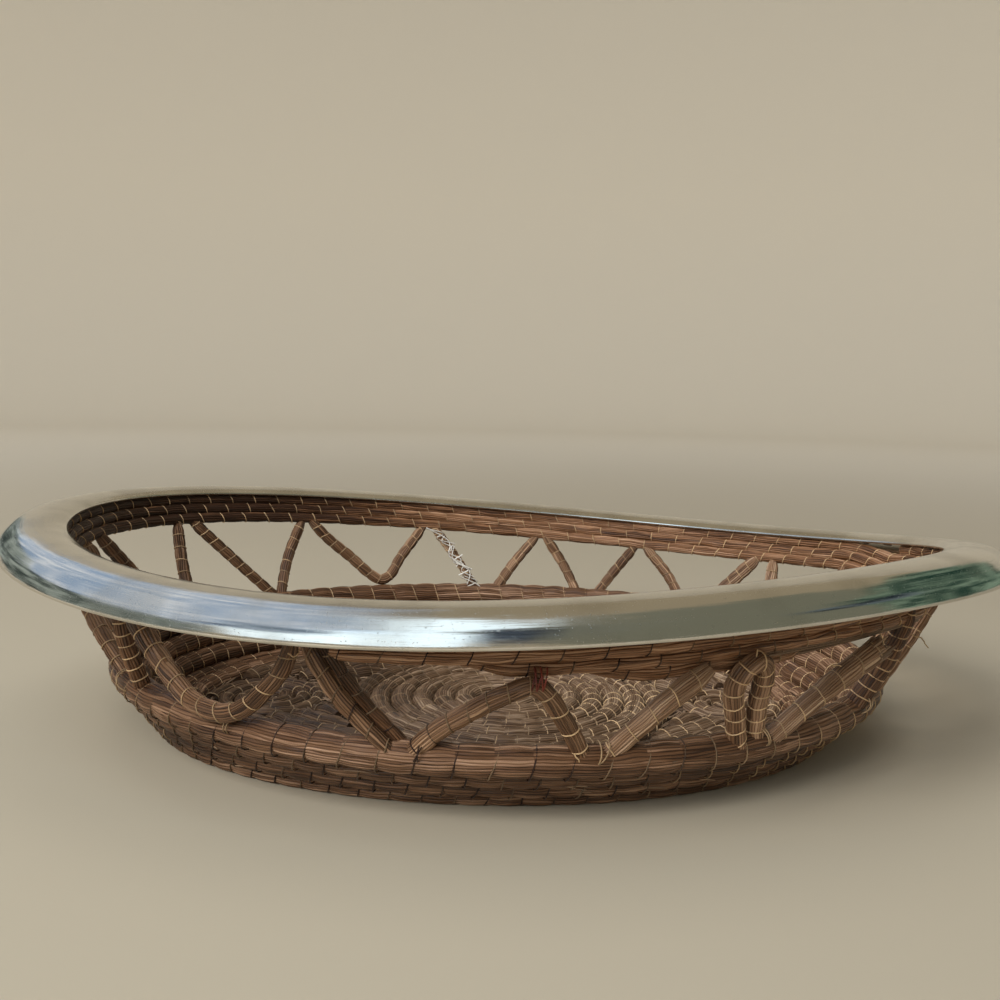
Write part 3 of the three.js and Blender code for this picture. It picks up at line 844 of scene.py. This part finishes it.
def upper_band():
    skipped = (BAND_BEGINS - BAND_STEP) / TAU
    turns = np.linspace(skipped, BAND_ROWS - BAND_CLIMB, BAND_SAMPLES)
    phase = BAND_STITCHES_PER_TURN * turns
    thick = np.full_like(turns, BAND_ROW_RADIUS * BAND_FULLNESS)
    return band_route(BAND_STEP + turns * TAU, row_level(turns, BAND_CLIMB), phase, thick)


band = upper_band()
bundle("upper_band_needles", band, ["upper_band_winding"], BAND_NEEDLES,
       relief=BAND_RELIEF, pinch=BAND_PINCH, seed=3.3)
band_stitch_routes = [band]

# Short band rows: two more rows sewn on below the band where its front right side sags, with thin
# ends that rise into the row above.
BAND_SHORT_ROWS = {"band_short_row_upper": (-1, 262, 335), "band_short_row_lower": (-2, 275, 305)}
SHORT_ROW_SAMPLES = 600
LEFT_TAPER = math.radians(9)
RIGHT_TAPER = math.radians(4)

for number, (name, (level, start, stop)) in enumerate(BAND_SHORT_ROWS.items()):
    angle = np.radians(np.linspace(start, stop, SHORT_ROW_SAMPLES))
    inward = smooth(np.minimum((angle - angle[0]) / LEFT_TAPER, (angle[-1] - angle) / RIGHT_TAPER))
    thick = BAND_ROW_RADIUS * BAND_FULLNESS * blend(0.25, 1.0, inward)
    turns = (angle - BAND_STEP) / TAU + level
    route = band_route(angle, level + 0.75 * (1 - inward), BAND_STITCHES_PER_TURN * turns, thick)
    bundle(name + "_needles", route, [name], BAND_NEEDLES,
           relief=BAND_RELIEF, pinch=BAND_PINCH, seed=4.1 + number)
    band_stitch_routes.append(route)
stitches("upper_band_stitches", band_stitch_routes, thread=BAND_THREAD, down=0.05,
         seed=30, pinch=BAND_PINCH)

# Open tier: separate bundles that stand slanting between the ring and the band, lashed with thread.
# Two are bent to a round foot, one to a peak and one to a narrow arch. Most are mid brown, a few are
# pale or almost black; the dark one leaning beside a lit one is painted dark for the shade it lies in.
STRUT_RADIUS = 2.9
STRUT_BOW = 1.2
TIER_PINCH = 0.00022
TIER_END_TAPER = 0.007
TIER_SAMPLES = 400
PALE_NEEDLES = needle_surface("pale_needles", colour(78, 52, 34), colour(140, 106, 78), colour(204, 174, 144))
DARK_NEEDLES = needle_surface("dark_needles", colour(30, 17, 9), colour(84, 54, 32), colour(148, 108, 76))
TIER_NEEDLES = needle_surface("tier_needles", colour(48, 29, 17), colour(116, 83, 57), colour(186, 150, 118))
FINISHES = {
    "brown": (TIER_NEEDLES, "needles_brown"),
    "pale": (PALE_NEEDLES, "needles_pale"),
    "dark": (DARK_NEEDLES, "needles_dark"),
}


def outward(angle, distance):
    """A step straight out from the rim's oval."""
    ends = [beside_oval(RIM_HALF_LENGTH, RIM_HALF_WIDTH, offset, angle) for offset in (distance, 0.0)]
    return ends[0] - ends[1]


def tier_points(stops):
    """Places on the open tier from stops: the angle in degrees, the share of the way up from the
    ring to the band's lowest full row, and the distance out from there in millimetres."""
    angle, rise, out = (np.array(column, float) for column in zip(*stops))
    angle = np.radians(angle)
    low = wall_point(angle, np.full_like(angle, RING_LEVEL))
    high = band_point(angle, np.ones_like(angle))
    return low + (high - low) * rise[:, None] + outward(angle, 1.0) * out[:, None] * 0.001


def curve_through(stops, count):
    """A smooth curve through a few points, with even steps."""
    ends = np.concatenate([[2 * stops[0] - stops[1]], stops, [2 * stops[-1] - stops[-2]]])
    pieces = []
    for a, b, c, d in zip(ends, ends[1:], ends[2:], ends[3:]):
        knots = np.cumsum([0] + [np.linalg.norm(q - p) ** 0.5 for p, q in ((a, b), (b, c), (c, d))])
        t = np.linspace(knots[1], knots[2], 40, endpoint=False)[:, None]

        def between(i, j, start, end):
            share = (t - knots[i]) / (knots[j] - knots[i])
            return start * (1 - share) + end * share

        ab, bc, cd = between(0, 1, a, b), between(1, 2, b, c), between(2, 3, c, d)
        pieces.append(between(1, 2, between(0, 2, ab, bc), between(1, 3, bc, cd)))
    path = np.concatenate(pieces + [stops[-1:]])
    length = way_along(path)
    even = np.linspace(0, length[-1], count)
    return np.stack([np.interp(even, length, path[:, i]) for i in range(3)], axis=1)


tier_routes = {}


def tier_bundle(name, stops, radii=(STRUT_RADIUS, STRUT_RADIUS), finish="brown", thread=(0.55, 0.55),
                spacing=6.0, slant=0.22, tucked=(0, 1), age=0.0):
    """One bundle of the tier. Its tucked ends are thin enough to hide in the band's row."""
    points = curve_through(tier_points(stops), TIER_SAMPLES)
    length = way_along(points)
    share = smooth(length / length[-1])
    thick = blend(radii[0], radii[1], share) * 0.001
    for end in tucked:
        inward = smooth(abs(length - end * length[-1]) / TIER_END_TAPER)
        lowest = 0.6 if stops[-end][1] > 0.5 else 1.0
        thick *= blend(lowest, 1.0, inward)
    level_out = points * (1, 1, 0)
    course = unit(np.gradient(points, axis=0))
    facing = level_out - course * (level_out * course).sum(1, keepdims=True)
    phase = length / (spacing * 0.001) + 0.4
    route = make_route(points, thick, phase, slant, blend(*thread, share), age, facing)
    tier_routes[name] = route
    material, slot = FINISHES[finish]
    bundle(name + "_needles", route, [name], material, seed=7.0 + 0.61 * len(tier_routes),
           pinch=TIER_PINCH)


def straight(foot, head):
    return [(foot, 0, 0), ((foot + head) / 2, 0.5, STRUT_BOW), (head, 1, 0)]


# Bundles towards the left end are given a share of painted shade, for the shade under the rim there.
tier_bundle("strut_left_end_front", straight(208, 193), thread=(0.5, 0.4), spacing=7.0, age=0.4)
tier_bundle("strut_front_short_dark", straight(214, 219.8), finish="dark", thread=(0.9, 0.9), spacing=4.6)
tier_bundle(
    "strut_front_round_foot",
    [(222.8, 1, 1), (224.4, 0.68, 1.5), (227.6, 0.39, 3), (230.2, 0.24, 4), (233.6, 0.19, 4.5),
     (236.8, 0.21, 4.5), (239.8, 0.31, 4), (242.4, 0.47, 3), (245.3, 0.7, 1.5), (247.2, 1, 0)],
    radii=(3.6, 2.8), thread=(0.7, 0.6), spacing=7.0, slant=0.35, age=0.35,
)
tier_bundle("strut_front_leaning_left", [(258.2, 0, 2), (251.9, 0.5, 2.2), (248.3, 1, 0.5)],
            radii=(2.5, 3.1), thread=(0.1, 0.1), spacing=7.5, slant=0.5, age=0.3)
# Painted shade: this bundle has the dark finish for the shade it lies in beside the lit bundle above.
tier_bundle("strut_front_leaning_dark", [(260, 0, -1), (253.3, 0.5, -1.5), (249.8, 1, -0.5)],
            radii=(2.3, 2.8), finish="dark", thread=(0.15, 0.15), spacing=7.5, slant=-0.3)
tier_bundle(
    "strut_front_tied_peak",
    [(259.6, 0.02, 1), (262.8, 0.26, 1.8), (266.8, 0.46, 1.8), (270.4, 0.6, 1.8), (272.8, 0.65, 1.8),
     (274.4, 0.56, 1.8), (276, 0.42, 1.8), (278.2, 0.22, 1.8), (280.2, 0.02, 1)],
    radii=(3.2, 2.9), thread=(-0.1, 1.0), spacing=6.8, slant=-0.15,
)
tier_bundle("strut_front_pale_wide", [(282.3, 0, 0.8), (287.5, 0.41, 1.5), (292.2, 0.68, 0.5)],
            radii=(3.1, 3.7), finish="pale", thread=(0.8, 0.8), spacing=8.5, slant=-0.2)
tier_bundle(
    "strut_front_narrow_arch",
    [(300.6, 0.02, 1.5), (298, 0.28, 2), (296, 0.5, 2.4), (296.2, 0.64, 3), (297.6, 0.71, 3.4),
     (299.2, 0.62, 2.6), (301.2, 0.34, 0.6), (303.6, 0.02, 0.5)],
    radii=(3.3, 3.2), thread=(0.9, 0.9), spacing=4.6,
)
tier_bundle("strut_front_blunt_end", [(306, 0.02, 1.2), (311, 0.35, 3.2), (317.8, 0.63, 5)],
            radii=(3.3, 4.1), finish="pale", thread=(0.75, 0.75), spacing=8.5, slant=-0.25, tucked=(0,))
tier_bundle("strut_front_dark_right", [(326.4, 0, 0.5), (327.4, 0.4, 1.2), (325.6, 0.9, 0)],
            radii=(3.6, 3.7), finish="dark", thread=(0.95, 0.95), spacing=4.4)
tier_bundle("strut_right_end_front", straight(336, 341), radii=(3.3, 3.3), thread=(0.6, 0.6), spacing=7.0)
tier_bundle("strut_right_end_outer", straight(352, 345))
tier_bundle("strut_right_end_inner", straight(355.4, 363))
tier_bundle("strut_right_end_upright", straight(11, 7))
tier_bundle("strut_right_end_back", straight(14.6, 24))
tier_bundle("strut_back_short_upright", straight(31, 39.8), finish="pale", thread=(0.7, 0.7))
tier_bundle("strut_back_thick", straight(45.6, 42.8), radii=(3, 3.2), finish="pale", thread=(0.7, 0.7))
tier_bundle("strut_back_right_outer", straight(48.8, 64.9), radii=(2.4, 2.6))
tier_bundle("strut_back_right_inner", straight(69, 65.9), radii=(2.4, 2.6))
tier_bundle("strut_back_middle_right", straight(71.8, 82.6), radii=(2.4, 2.6))
tier_bundle("strut_back_middle", straight(90, 83.5), radii=(2.8, 2.5))
tier_bundle("strut_back_frayed", straight(92.8, 102.3), radii=(2.1, 2.4), finish="pale", thread=(1.2, 1.2),
            spacing=3.6, slant=0.6)
tier_bundle(
    "strut_back_round_foot",
    [(103.5, 1, 0), (108.6, 0.5, 0), (111, 0.27, -0.6), (113, 0.21, -0.8), (115, 0.28, -0.6),
     (118.2, 0.5, 0), (122, 0.75, 0), (124.7, 1, 0)],
    radii=(2.6, 2.7), thread=(0.6, 0.6), age=0.2,
)
tier_bundle("strut_back_left_inner", straight(136.3, 125.7), radii=(2.5, 2.6), age=0.5)
tier_bundle("strut_back_left_outer", straight(135.6, 148.9), radii=(2.4, 2.7), thread=(0.6, 0.6), age=0.45)
tier_bundle("strut_back_upright", straight(158.4, 151.7), radii=(2.8, 2.7), thread=(0.6, 0.6), age=0.45)
tier_bundle("strut_left_end_dark", straight(161.6, 174.8), finish="dark", thread=(0.3, 0.3))
tier_bundle("strut_left_end_back", straight(176.2, 180.6), thread=(0.4, 0.4))
tier_bundle("strut_left_end_inner", straight(188, 184.2), thread=(0.4, 0.4))
stitches("tier_stitches", list(tier_routes.values()), seed=40, pinch=TIER_PINCH)

# Loose ends: the red thread that ties the peak to the band, white threads frayed off one bundle at
# the back, cut ends and loops of sewing thread, and needles that have worked loose.
TIE_TURNS = 5
FRAY_COUNT = 9
TIP_COUNT = 46
STRAY_COUNT = 110
RUN_OUT_COUNT = 64
RED_THREAD = thread_surface("red_thread", colour(70, 20, 14), colour(142, 62, 44))
WHITE_THREAD = thread_surface("white_thread", colour(150, 138, 124), colour(232, 226, 216))


def outward_at(degrees):
    pair = tier_points([(degrees, 0, 0), (degrees, 0, 1)])
    return (pair[1] - pair[0]) * 1000


def tie_loop(degrees, rise, out, wide, tall, lean):
    """A loop of thread that stands upright, square to the wall."""
    middle = tier_points([(degrees, rise, out)])[0]
    turn = np.linspace(0, TAU, 19)
    aside = np.cross(outward_at(degrees), (0, 0, 1))
    loop = np.outer(np.cos(turn), outward_at(degrees)) * wide + np.outer(np.sin(turn), (0, 0, 1)) * tall
    return middle + loop + np.outer(np.sin(turn), aside) * lean


ties = [tie_loop(272.4 + 0.3 * i, 0.70, 1.8, 0.0036, 0.0036 + 0.0003 * (i % 2), 0.0012 * (i % 2) - 0.0008)
        for i in range(TIE_TURNS)]
strands("red_tie", [strand(points, 0.00032, 0.15 + 0.15 * i) for i, points in enumerate(ties)],
        RED_THREAD)

# Feet of the tier: at six places along the front, two loose turns of sewing thread lash the feet to
# the ring.
LASHED_FEET = ((211, 0.45), (236.5, 0.4), (260.6, 0.0), (281.8, 0.55), (304, 0.55), (327, 0.65))
LASHING_TURNS = 2
lashing_chance = np.random.default_rng(8)
lashings = []
for degrees, tone in LASHED_FEET:
    for _ in range(LASHING_TURNS):
        place = degrees + lashing_chance.normal(0, 0.35)
        lean = lashing_chance.uniform(-0.0036, 0.0036)
        loop = tie_loop(place, 0.08, 1.4, 0.0050, 0.0034, lean)
        lashings.append(strand(loop, THREAD, tone))
strands("foot_lashings", lashings, SEWING_THREAD)


def wandering(start, heading, length, curl, chance, steps=14):
    """A limp end that wanders from where it is held."""
    places, ahead = [np.array(start, float)], np.array(heading, float)
    for _ in range(steps):
        ahead = unit(ahead + chance.normal(0, curl, 3))
        places.append(places[-1] + ahead * length / steps)
    return np.array(places)


fray_chance = np.random.default_rng(12)
fray = []
for i in range(FRAY_COUNT):
    rise = fray_chance.uniform(0.1, 1.0)
    turns = np.array((-1.1, 0.7, -0.8, 1.2)) * fray_chance.uniform(0.5, 1.6) * (-1) ** i
    down = rise + np.linspace(0.1, -0.3, 4) * fray_chance.uniform(0.5, 1.5)
    stops = [(92.6 + 9.7 * share + side, share, -2.9 - chance) for side, share, chance in
             zip(turns, np.clip(down, 0.02, 1.03), fray_chance.uniform(0, 0.9, 4))]
    points = curve_through(tier_points(stops), 14)
    fray.append(strand(points, 0.00036, fray_chance.uniform(0.5, 1.0)))
strands("frayed_threads", fray, WHITE_THREAD, sides=3)

THREAD_ENDS = [
    (296.5, 0.66, 4.4, (0.15, -0.2, 1.0), 0.007, 0.12), (309.2, 0.58, 4.5, (-0.6, -0.4, 0.5), 0.004, 0.6),
    (309.8, 0.6, 4.6, (0.5, -0.5, 0.2), 0.003, 0.7), (278.6, 0.1, 4.2, (0.5, -0.5, -0.8), 0.006, 0.3),
    (281.4, 0.06, 4.0, (-0.6, -0.4, -0.8), 0.006, 0.3), (330.5, 0.62, 3.5, (1.0, -0.2, -0.3), 0.008, 0.5),
    (317.6, 0.64, 6.0, (0.2, -0.3, 0.9), 0.006, 0.4), (317.4, 0.62, 6.5, (-0.4, -0.3, 0.7), 0.005, 0.5),
    (248.0, 0.9, 3.0, (0.3, -0.4, -0.8), 0.005, 0.4),
]
end_chance = np.random.default_rng(21)
cut_ends = []
for degrees, rise, out, heading, length, curl in THREAD_ENDS:
    start = tier_points([(degrees, rise, out)])[0]
    cut_ends.append(strand(wandering(start, heading, length, curl, end_chance, 9), 0.00024, 0.85))
strands("thread_ends", cut_ends, SEWING_THREAD)

# Cut end of the blunt bundle: the needles were cut off unevenly, so their tips stand out, each to a
# length of its own.
blunt = tier_routes["strut_front_blunt_end"]
blunt_end = blunt["points"][-1]
blunt_ahead = unit(blunt_end - blunt["points"][-3])
blunt_across = np.cross(blunt_ahead, blunt["facing"][-1])
tips = []
for _ in range(TIP_COUNT):
    turn, reach = end_chance.uniform(0, TAU), blunt["thick"][-1] * math.sqrt(end_chance.uniform(0.05, 0.92))
    side = blunt["facing"][-1] * math.cos(turn) + blunt_across * math.sin(turn)
    start = blunt_end + side * reach - blunt_ahead * 0.003
    far = blunt_end + side * reach * end_chance.uniform(1.0, 1.15)
    far = far + blunt_ahead * end_chance.uniform(0.0006, 0.0042)
    radii = (0.0005, 0.0005, 0.00045, 0.0003)
    tips.append(strand(np.linspace(start, far, 4), radii, end_chance.uniform(0.3, 1.0)))
strands("blunt_end_tips", tips, LOOSE_NEEDLE, sides=5)


def stray_needle(chance):
    """A needle that has slipped out of the ring, a wall row or the band, and springs away."""
    angle = chance.uniform(0, TAU)
    on_band = chance.random() < 0.45
    level = chance.integers(1, 4) if on_band else chance.integers(2, 5)
    place_at = band_point if on_band else wall_point
    reach = chance.uniform(0.03, 0.08)
    angles = angle + np.linspace(0, reach, 6) * (1 if chance.random() < 0.5 else -1)
    points = place_at(angles, np.full(6, float(level)))
    lift = (BAND_ROW_RADIUS if on_band else ROW_RADIUS) * 1.02
    aside = unit(np.cross(np.gradient(points, axis=0), (0, 0, 1)))
    aside *= np.sign((aside * points).sum(1, keepdims=True))
    away = lift + chance.uniform(0.0, 0.0016) * np.linspace(0, 1, 6)[:, None] ** 2
    turn = chance.uniform(-0.9, 0.9)
    points = points + aside * away * math.cos(turn) + np.array([0, 0, 1]) * away * math.sin(turn)
    radii = (0.0004, 0.0004, 0.00036, 0.00032, 0.00026, 0.00015)
    return strand(points, radii, chance.uniform(0.2, 0.9))


def run_out_needle(chance):
    """A needle of the lower short row that runs on past its end, close under the band."""
    angle = np.radians(np.linspace(chance.uniform(297, 304), chance.uniform(318, 334), 9))
    way = np.linspace(0, 1, 9)
    points = band_point(angle, blend(chance.uniform(-2.1, -1.5), chance.uniform(-1.8, -1.1), way))
    points += outward(angle, chance.uniform(-0.0015, 0.0022))
    return strand(points, 0.00045, chance.uniform(0.1, 0.7))


stray_chance = np.random.default_rng(33)
stray = [stray_needle(stray_chance) for _ in range(STRAY_COUNT)]
stray += [run_out_needle(stray_chance) for _ in range(RUN_OUT_COUNT)]
strands("stray_needles", stray, LOOSE_NEEDLE)

# Metal rim: one piece of thin sheet, pressed to a low dome with a skirt that turns down and is rolled
# under at its edge. It is polished, scratched and a little dented from use, and was bent with the
# basket, which hangs under it by its top row.
FLANGE_WIDTH = 0.025
DOME_RISE = 0.0026
SKIRT_DROP = 0.0076
LIP_RADIUS = 0.0007
RIM_STEPS = 720


def rim_section():
    """The section's outline: the inside of the sheet, the rolled edge, then the outside."""
    stops = np.array([
        (0, 0, 0), (FLANGE_WIDTH * 0.16, DOME_RISE * 0.66, 0), (FLANGE_WIDTH * 0.42, DOME_RISE, 0),
        (FLANGE_WIDTH * 0.72, DOME_RISE * 0.56, 0), (FLANGE_WIDTH * 0.86, -SKIRT_DROP * 0.18, 0),
        (FLANGE_WIDTH * 0.95, -SKIRT_DROP * 0.52, 0), (FLANGE_WIDTH, -SKIRT_DROP, 0),
    ])
    outside = curve_through(stops, 30)
    course = unit(np.gradient(outside, axis=0))
    inside = outside + np.stack([course[:, 1], -course[:, 0], course[:, 2]], axis=1) * SHEET
    turn = np.linspace(0, math.radians(-190), 8)
    roll = np.stack([np.cos(turn) - 1, np.sin(turn), 0 * turn], axis=1)
    rolled = outside[-1] + roll * LIP_RADIUS
    return np.concatenate([inside[:-1], rolled[::-1], outside[-2::-1]])


def rim_surface():
    """Polished metal with dull worn patches, fine scratches along it and specks."""
    surface, tree, shader = new_surface("polished_rim")
    place = add_node(tree, "ShaderNodeTexCoord", None, None, "Object")
    lay = attribute(tree, "lay", "Vector")

    def cloud(scale, detail):
        return noise(place, scale, detail)

    def streaks(around, across, detail=2.0):
        return noise(vector_math("MULTIPLY", lay, (around, across, 1.0)), 1.0, detail)

    dull = cloud(36.0, 4.0).between(0.45, 0.68)
    specks = cloud(1400.0, 2.0).between(0.65, 0.76)
    pits = cloud(520.0, 1.0).between(0.78, 0.84)
    scratches = streaks(60.0, 2400.0, 3.0).between(0.56, 0.75)
    smears = streaks(14.0, 420.0)
    (0.10 + dull * 0.07 + specks * 0.16 + scratches * 0.10 + smears * 0.10).feed(shader, "Roughness")
    tarnish = (dull * 0.32 + specks * 0.35 + pits * 0.5).math("MINIMUM", 1.0)
    mixed(tarnish, colour(216, 213, 206), colour(150, 140, 122)).feed(shader, "Base Color")
    height = cloud(30.0, 2.0) + smears * 0.14 + scratches * 0.012 + specks * 0.02 - pits * 0.03
    bump(shader, height, 0.45, 0.0012)
    shader.inputs["Metallic"].default_value = 1.0
    return surface


def metal_rim():
    angle = np.arange(RIM_STEPS) / RIM_STEPS * TAU
    rings = []
    for across, up, _ in rim_section():
        ring = beside_oval(RIM_HALF_LENGTH, RIM_HALF_WIDTH, across, angle)
        ring[:, 2] = rim_height(angle) + up
        rings.append(ring)
    places = np.stack(rings, axis=1)
    count = len(rings)
    mesh = bpy.data.meshes.new("rim")
    mesh.from_pydata(places.reshape(-1, 3).tolist(), [], grid_faces(RIM_STEPS, count, True))
    apart = [np.linalg.norm(np.subtract(a, b)) for a, b in zip(rings[1:], rings)]
    lay = np.zeros((RIM_STEPS, count, 3), np.float32)
    lay[:, :, 0] = way_along(rings[count // 2])[:, None]
    lay[:, :, 1] = np.concatenate([[0], np.cumsum(apart)]) / RIM_STEPS ** 0.5
    mesh.attributes.new("lay", "FLOAT_VECTOR", "POINT").data.foreach_set("vector", lay.ravel())
    mesh.materials.append(rim_surface())
    mesh.shade_smooth()
    piece = placed("rim", mesh)
    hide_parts("metal_rim")
    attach(piece, "root")


metal_rim()

# Studio: a round seamless sheet of pale paper, soft lamps, and dim cards that only the metal mirrors,
# so that the rim has bright and dark to show.
PAPER_RADIUS = 2.5
PAPER_CURVE = 0.8
PAPER_HEIGHT = 2.2
PAPER_STEPS = 96
PAPER_BELOW = 0.0004


def paper():
    surface, tree, shader = new_surface("pale_paper")
    along, back, _ = parts_of(add_node(tree, "ShaderNodeTexCoord", None, None, "Object"))
    # Painted light and shade: the paper is darker near the basket and paler far out, where the lamps' light
    # falls off.
    far = (along * along + back * back).math("SQRT").between(0.4, 2.3)
    mixed(far, colour(172, 161, 142), colour(244, 236, 221)).feed(shader, "Base Color")
    shader.inputs["Roughness"].default_value = 0.9
    shader.inputs["Specular IOR Level"].default_value = 0.1
    bend = np.radians(np.linspace(0, 90, 13))
    reach = [0.3, PAPER_RADIUS, *(PAPER_RADIUS + PAPER_CURVE * np.sin(bend[1:]))]
    height = [0.0, 0.0, *(PAPER_CURVE * (1 - np.cos(bend[1:])))]
    reach.append(reach[-1])
    height.append(PAPER_HEIGHT)
    turn = np.arange(PAPER_STEPS) / PAPER_STEPS * TAU
    places = [(r * math.cos(a), r * math.sin(a), z - PAPER_BELOW)
              for r, z in zip(reach, height) for a in turn]
    faces = [tuple(range(PAPER_STEPS))] + grid_faces(len(reach), PAPER_STEPS, False)
    mesh = bpy.data.meshes.new("paper")
    mesh.from_pydata(places, [], faces)
    mesh.materials.append(surface)
    mesh.shade_smooth()
    placed("paper", mesh)


def beside_camera(azimuth, elevation, distance):
    """A place round the basket: 0 degrees is towards the camera, more is to the right."""
    a, e = math.radians(azimuth), math.radians(elevation)
    return Vector((math.sin(a) * math.cos(e), -math.cos(a) * math.cos(e), math.sin(e))) * distance


def facing_basket(holder, place):
    holder.location = place
    holder.rotation_euler = (Vector((0, 0, 0.04)) - place).to_track_quat("-Z", "Y").to_euler()


def lamp(name, place, size, power, tint, mirrored=True):
    light = bpy.data.lights.new(name, "AREA")
    light.shape = "RECTANGLE"
    light.size, light.size_y = size
    light.energy = power
    light.color = tint
    holder = placed(name, light)
    facing_basket(holder, place)
    holder.visible_camera = False
    holder.visible_glossy = mirrored


def card(name, place, size, shade, blotch=None):
    """A card that only the metal sees: of one shade, or blotched with a second one."""
    surface = bpy.data.materials.new(name)
    surface.use_nodes = True
    tree = surface.node_tree
    tree.nodes.clear()
    if blotch:
        spread = add_node(tree, "ShaderNodeTexCoord", None, None, "Object")
        shade = mixed(noise(spread, 7.0, 3.0).between(0.46, 0.56), shade, blotch)
    glow = add_node(tree, "ShaderNodeEmission", None, {"Color": shade, "Strength": 1.0})
    end = tree.nodes.new("ShaderNodeOutputMaterial")
    glow.feed(end, "Surface")
    width, height = size[0] / 2, size[1] / 2
    mesh = bpy.data.meshes.new(name)
    mesh.from_pydata([(-width, -height, 0), (width, -height, 0), (width, height, 0), (-width, height, 0)],
                     [], [(0, 1, 2, 3)])
    mesh.materials.append(surface)
    holder = placed(name, mesh)
    facing_basket(holder, place)
    holder.visible_camera = False
    holder.visible_diffuse = False
    holder.visible_shadow = False


def room():
    world = bpy.data.worlds.new("room")
    bpy.context.scene.world = world
    world.use_nodes = True
    background = world.node_tree.nodes["Background"]
    background.inputs["Color"].default_value = (*colour(232, 230, 224), 1.0)
    background.inputs["Strength"].default_value = 0.3


def camera():
    """The photograph's camera: a little above the rim, looking slightly down."""
    place = Vector((-0.0102, -0.412, 0.138))
    yaw, pitch, roll, focal = 0.0167, 0.1165, 0.0215, 36.0
    ahead = Vector((math.sin(yaw) * math.cos(pitch), math.cos(yaw) * math.cos(pitch), -math.sin(pitch)))
    right = Vector((math.cos(yaw), -math.sin(yaw), 0))
    up = right.cross(ahead)
    tilted_right = math.cos(roll) * right + math.sin(roll) * up
    tilted_up = -math.sin(roll) * right + math.cos(roll) * up
    lens = bpy.data.cameras.new("camera")
    lens.lens = focal
    lens.sensor_width = 36.0
    lens.clip_start = 0.01
    holder = placed("camera", lens)
    turn = Matrix((tilted_right, tilted_up, -ahead)).transposed().to_4x4()
    holder.matrix_world = Matrix.Translation(place) @ turn
    bpy.context.scene.camera = holder


paper()
room()
lamp("window", beside_camera(-29, 45, 1.6), (1.25, 2.0), 13.0, (0.62, 0.82, 1.0))
lamp("key", beside_camera(-38, 40, 2.2), (1.1, 1.1), 40.0, (1.0, 0.98, 0.94), mirrored=False)
lamp("overhead", Vector((0.0, 0.2, 2.0)), (1.6, 1.4), 7.0, (1.0, 0.98, 0.95), mirrored=False)
card("ceiling", Vector((0, 0, 2.3)), (7.0, 7.0), colour(158, 146, 122))
card("sky_left", beside_camera(-98, 50, 1.3), (2.4, 1.2), colour(142, 170, 204), colour(246, 250, 255))
card("hedge_left", beside_camera(-98, 14, 1.2), (2.4, 0.5), colour(36, 48, 46), colour(170, 180, 172))
card("hedge_front", beside_camera(-46, 35, 1.1), (0.36, 0.4), colour(56, 80, 108), colour(186, 204, 224))
card("wall_right", beside_camera(40, 39, 1.15), (1.5, 1.6), colour(120, 120, 104))
card("dark_middle", beside_camera(-1.5, 42, 1.0), (0.2, 0.8), colour(24, 30, 42), colour(62, 74, 92))
card("hedge_right", beside_camera(96, 24, 1.1), (1.1, 0.9), colour(16, 50, 42), colour(128, 150, 130))
card("dark_right", beside_camera(69, 32, 0.9), (0.44, 0.15), colour(28, 36, 46), colour(104, 116, 122))
camera()
bpy.context.scene.view_settings.view_transform = "Standard"
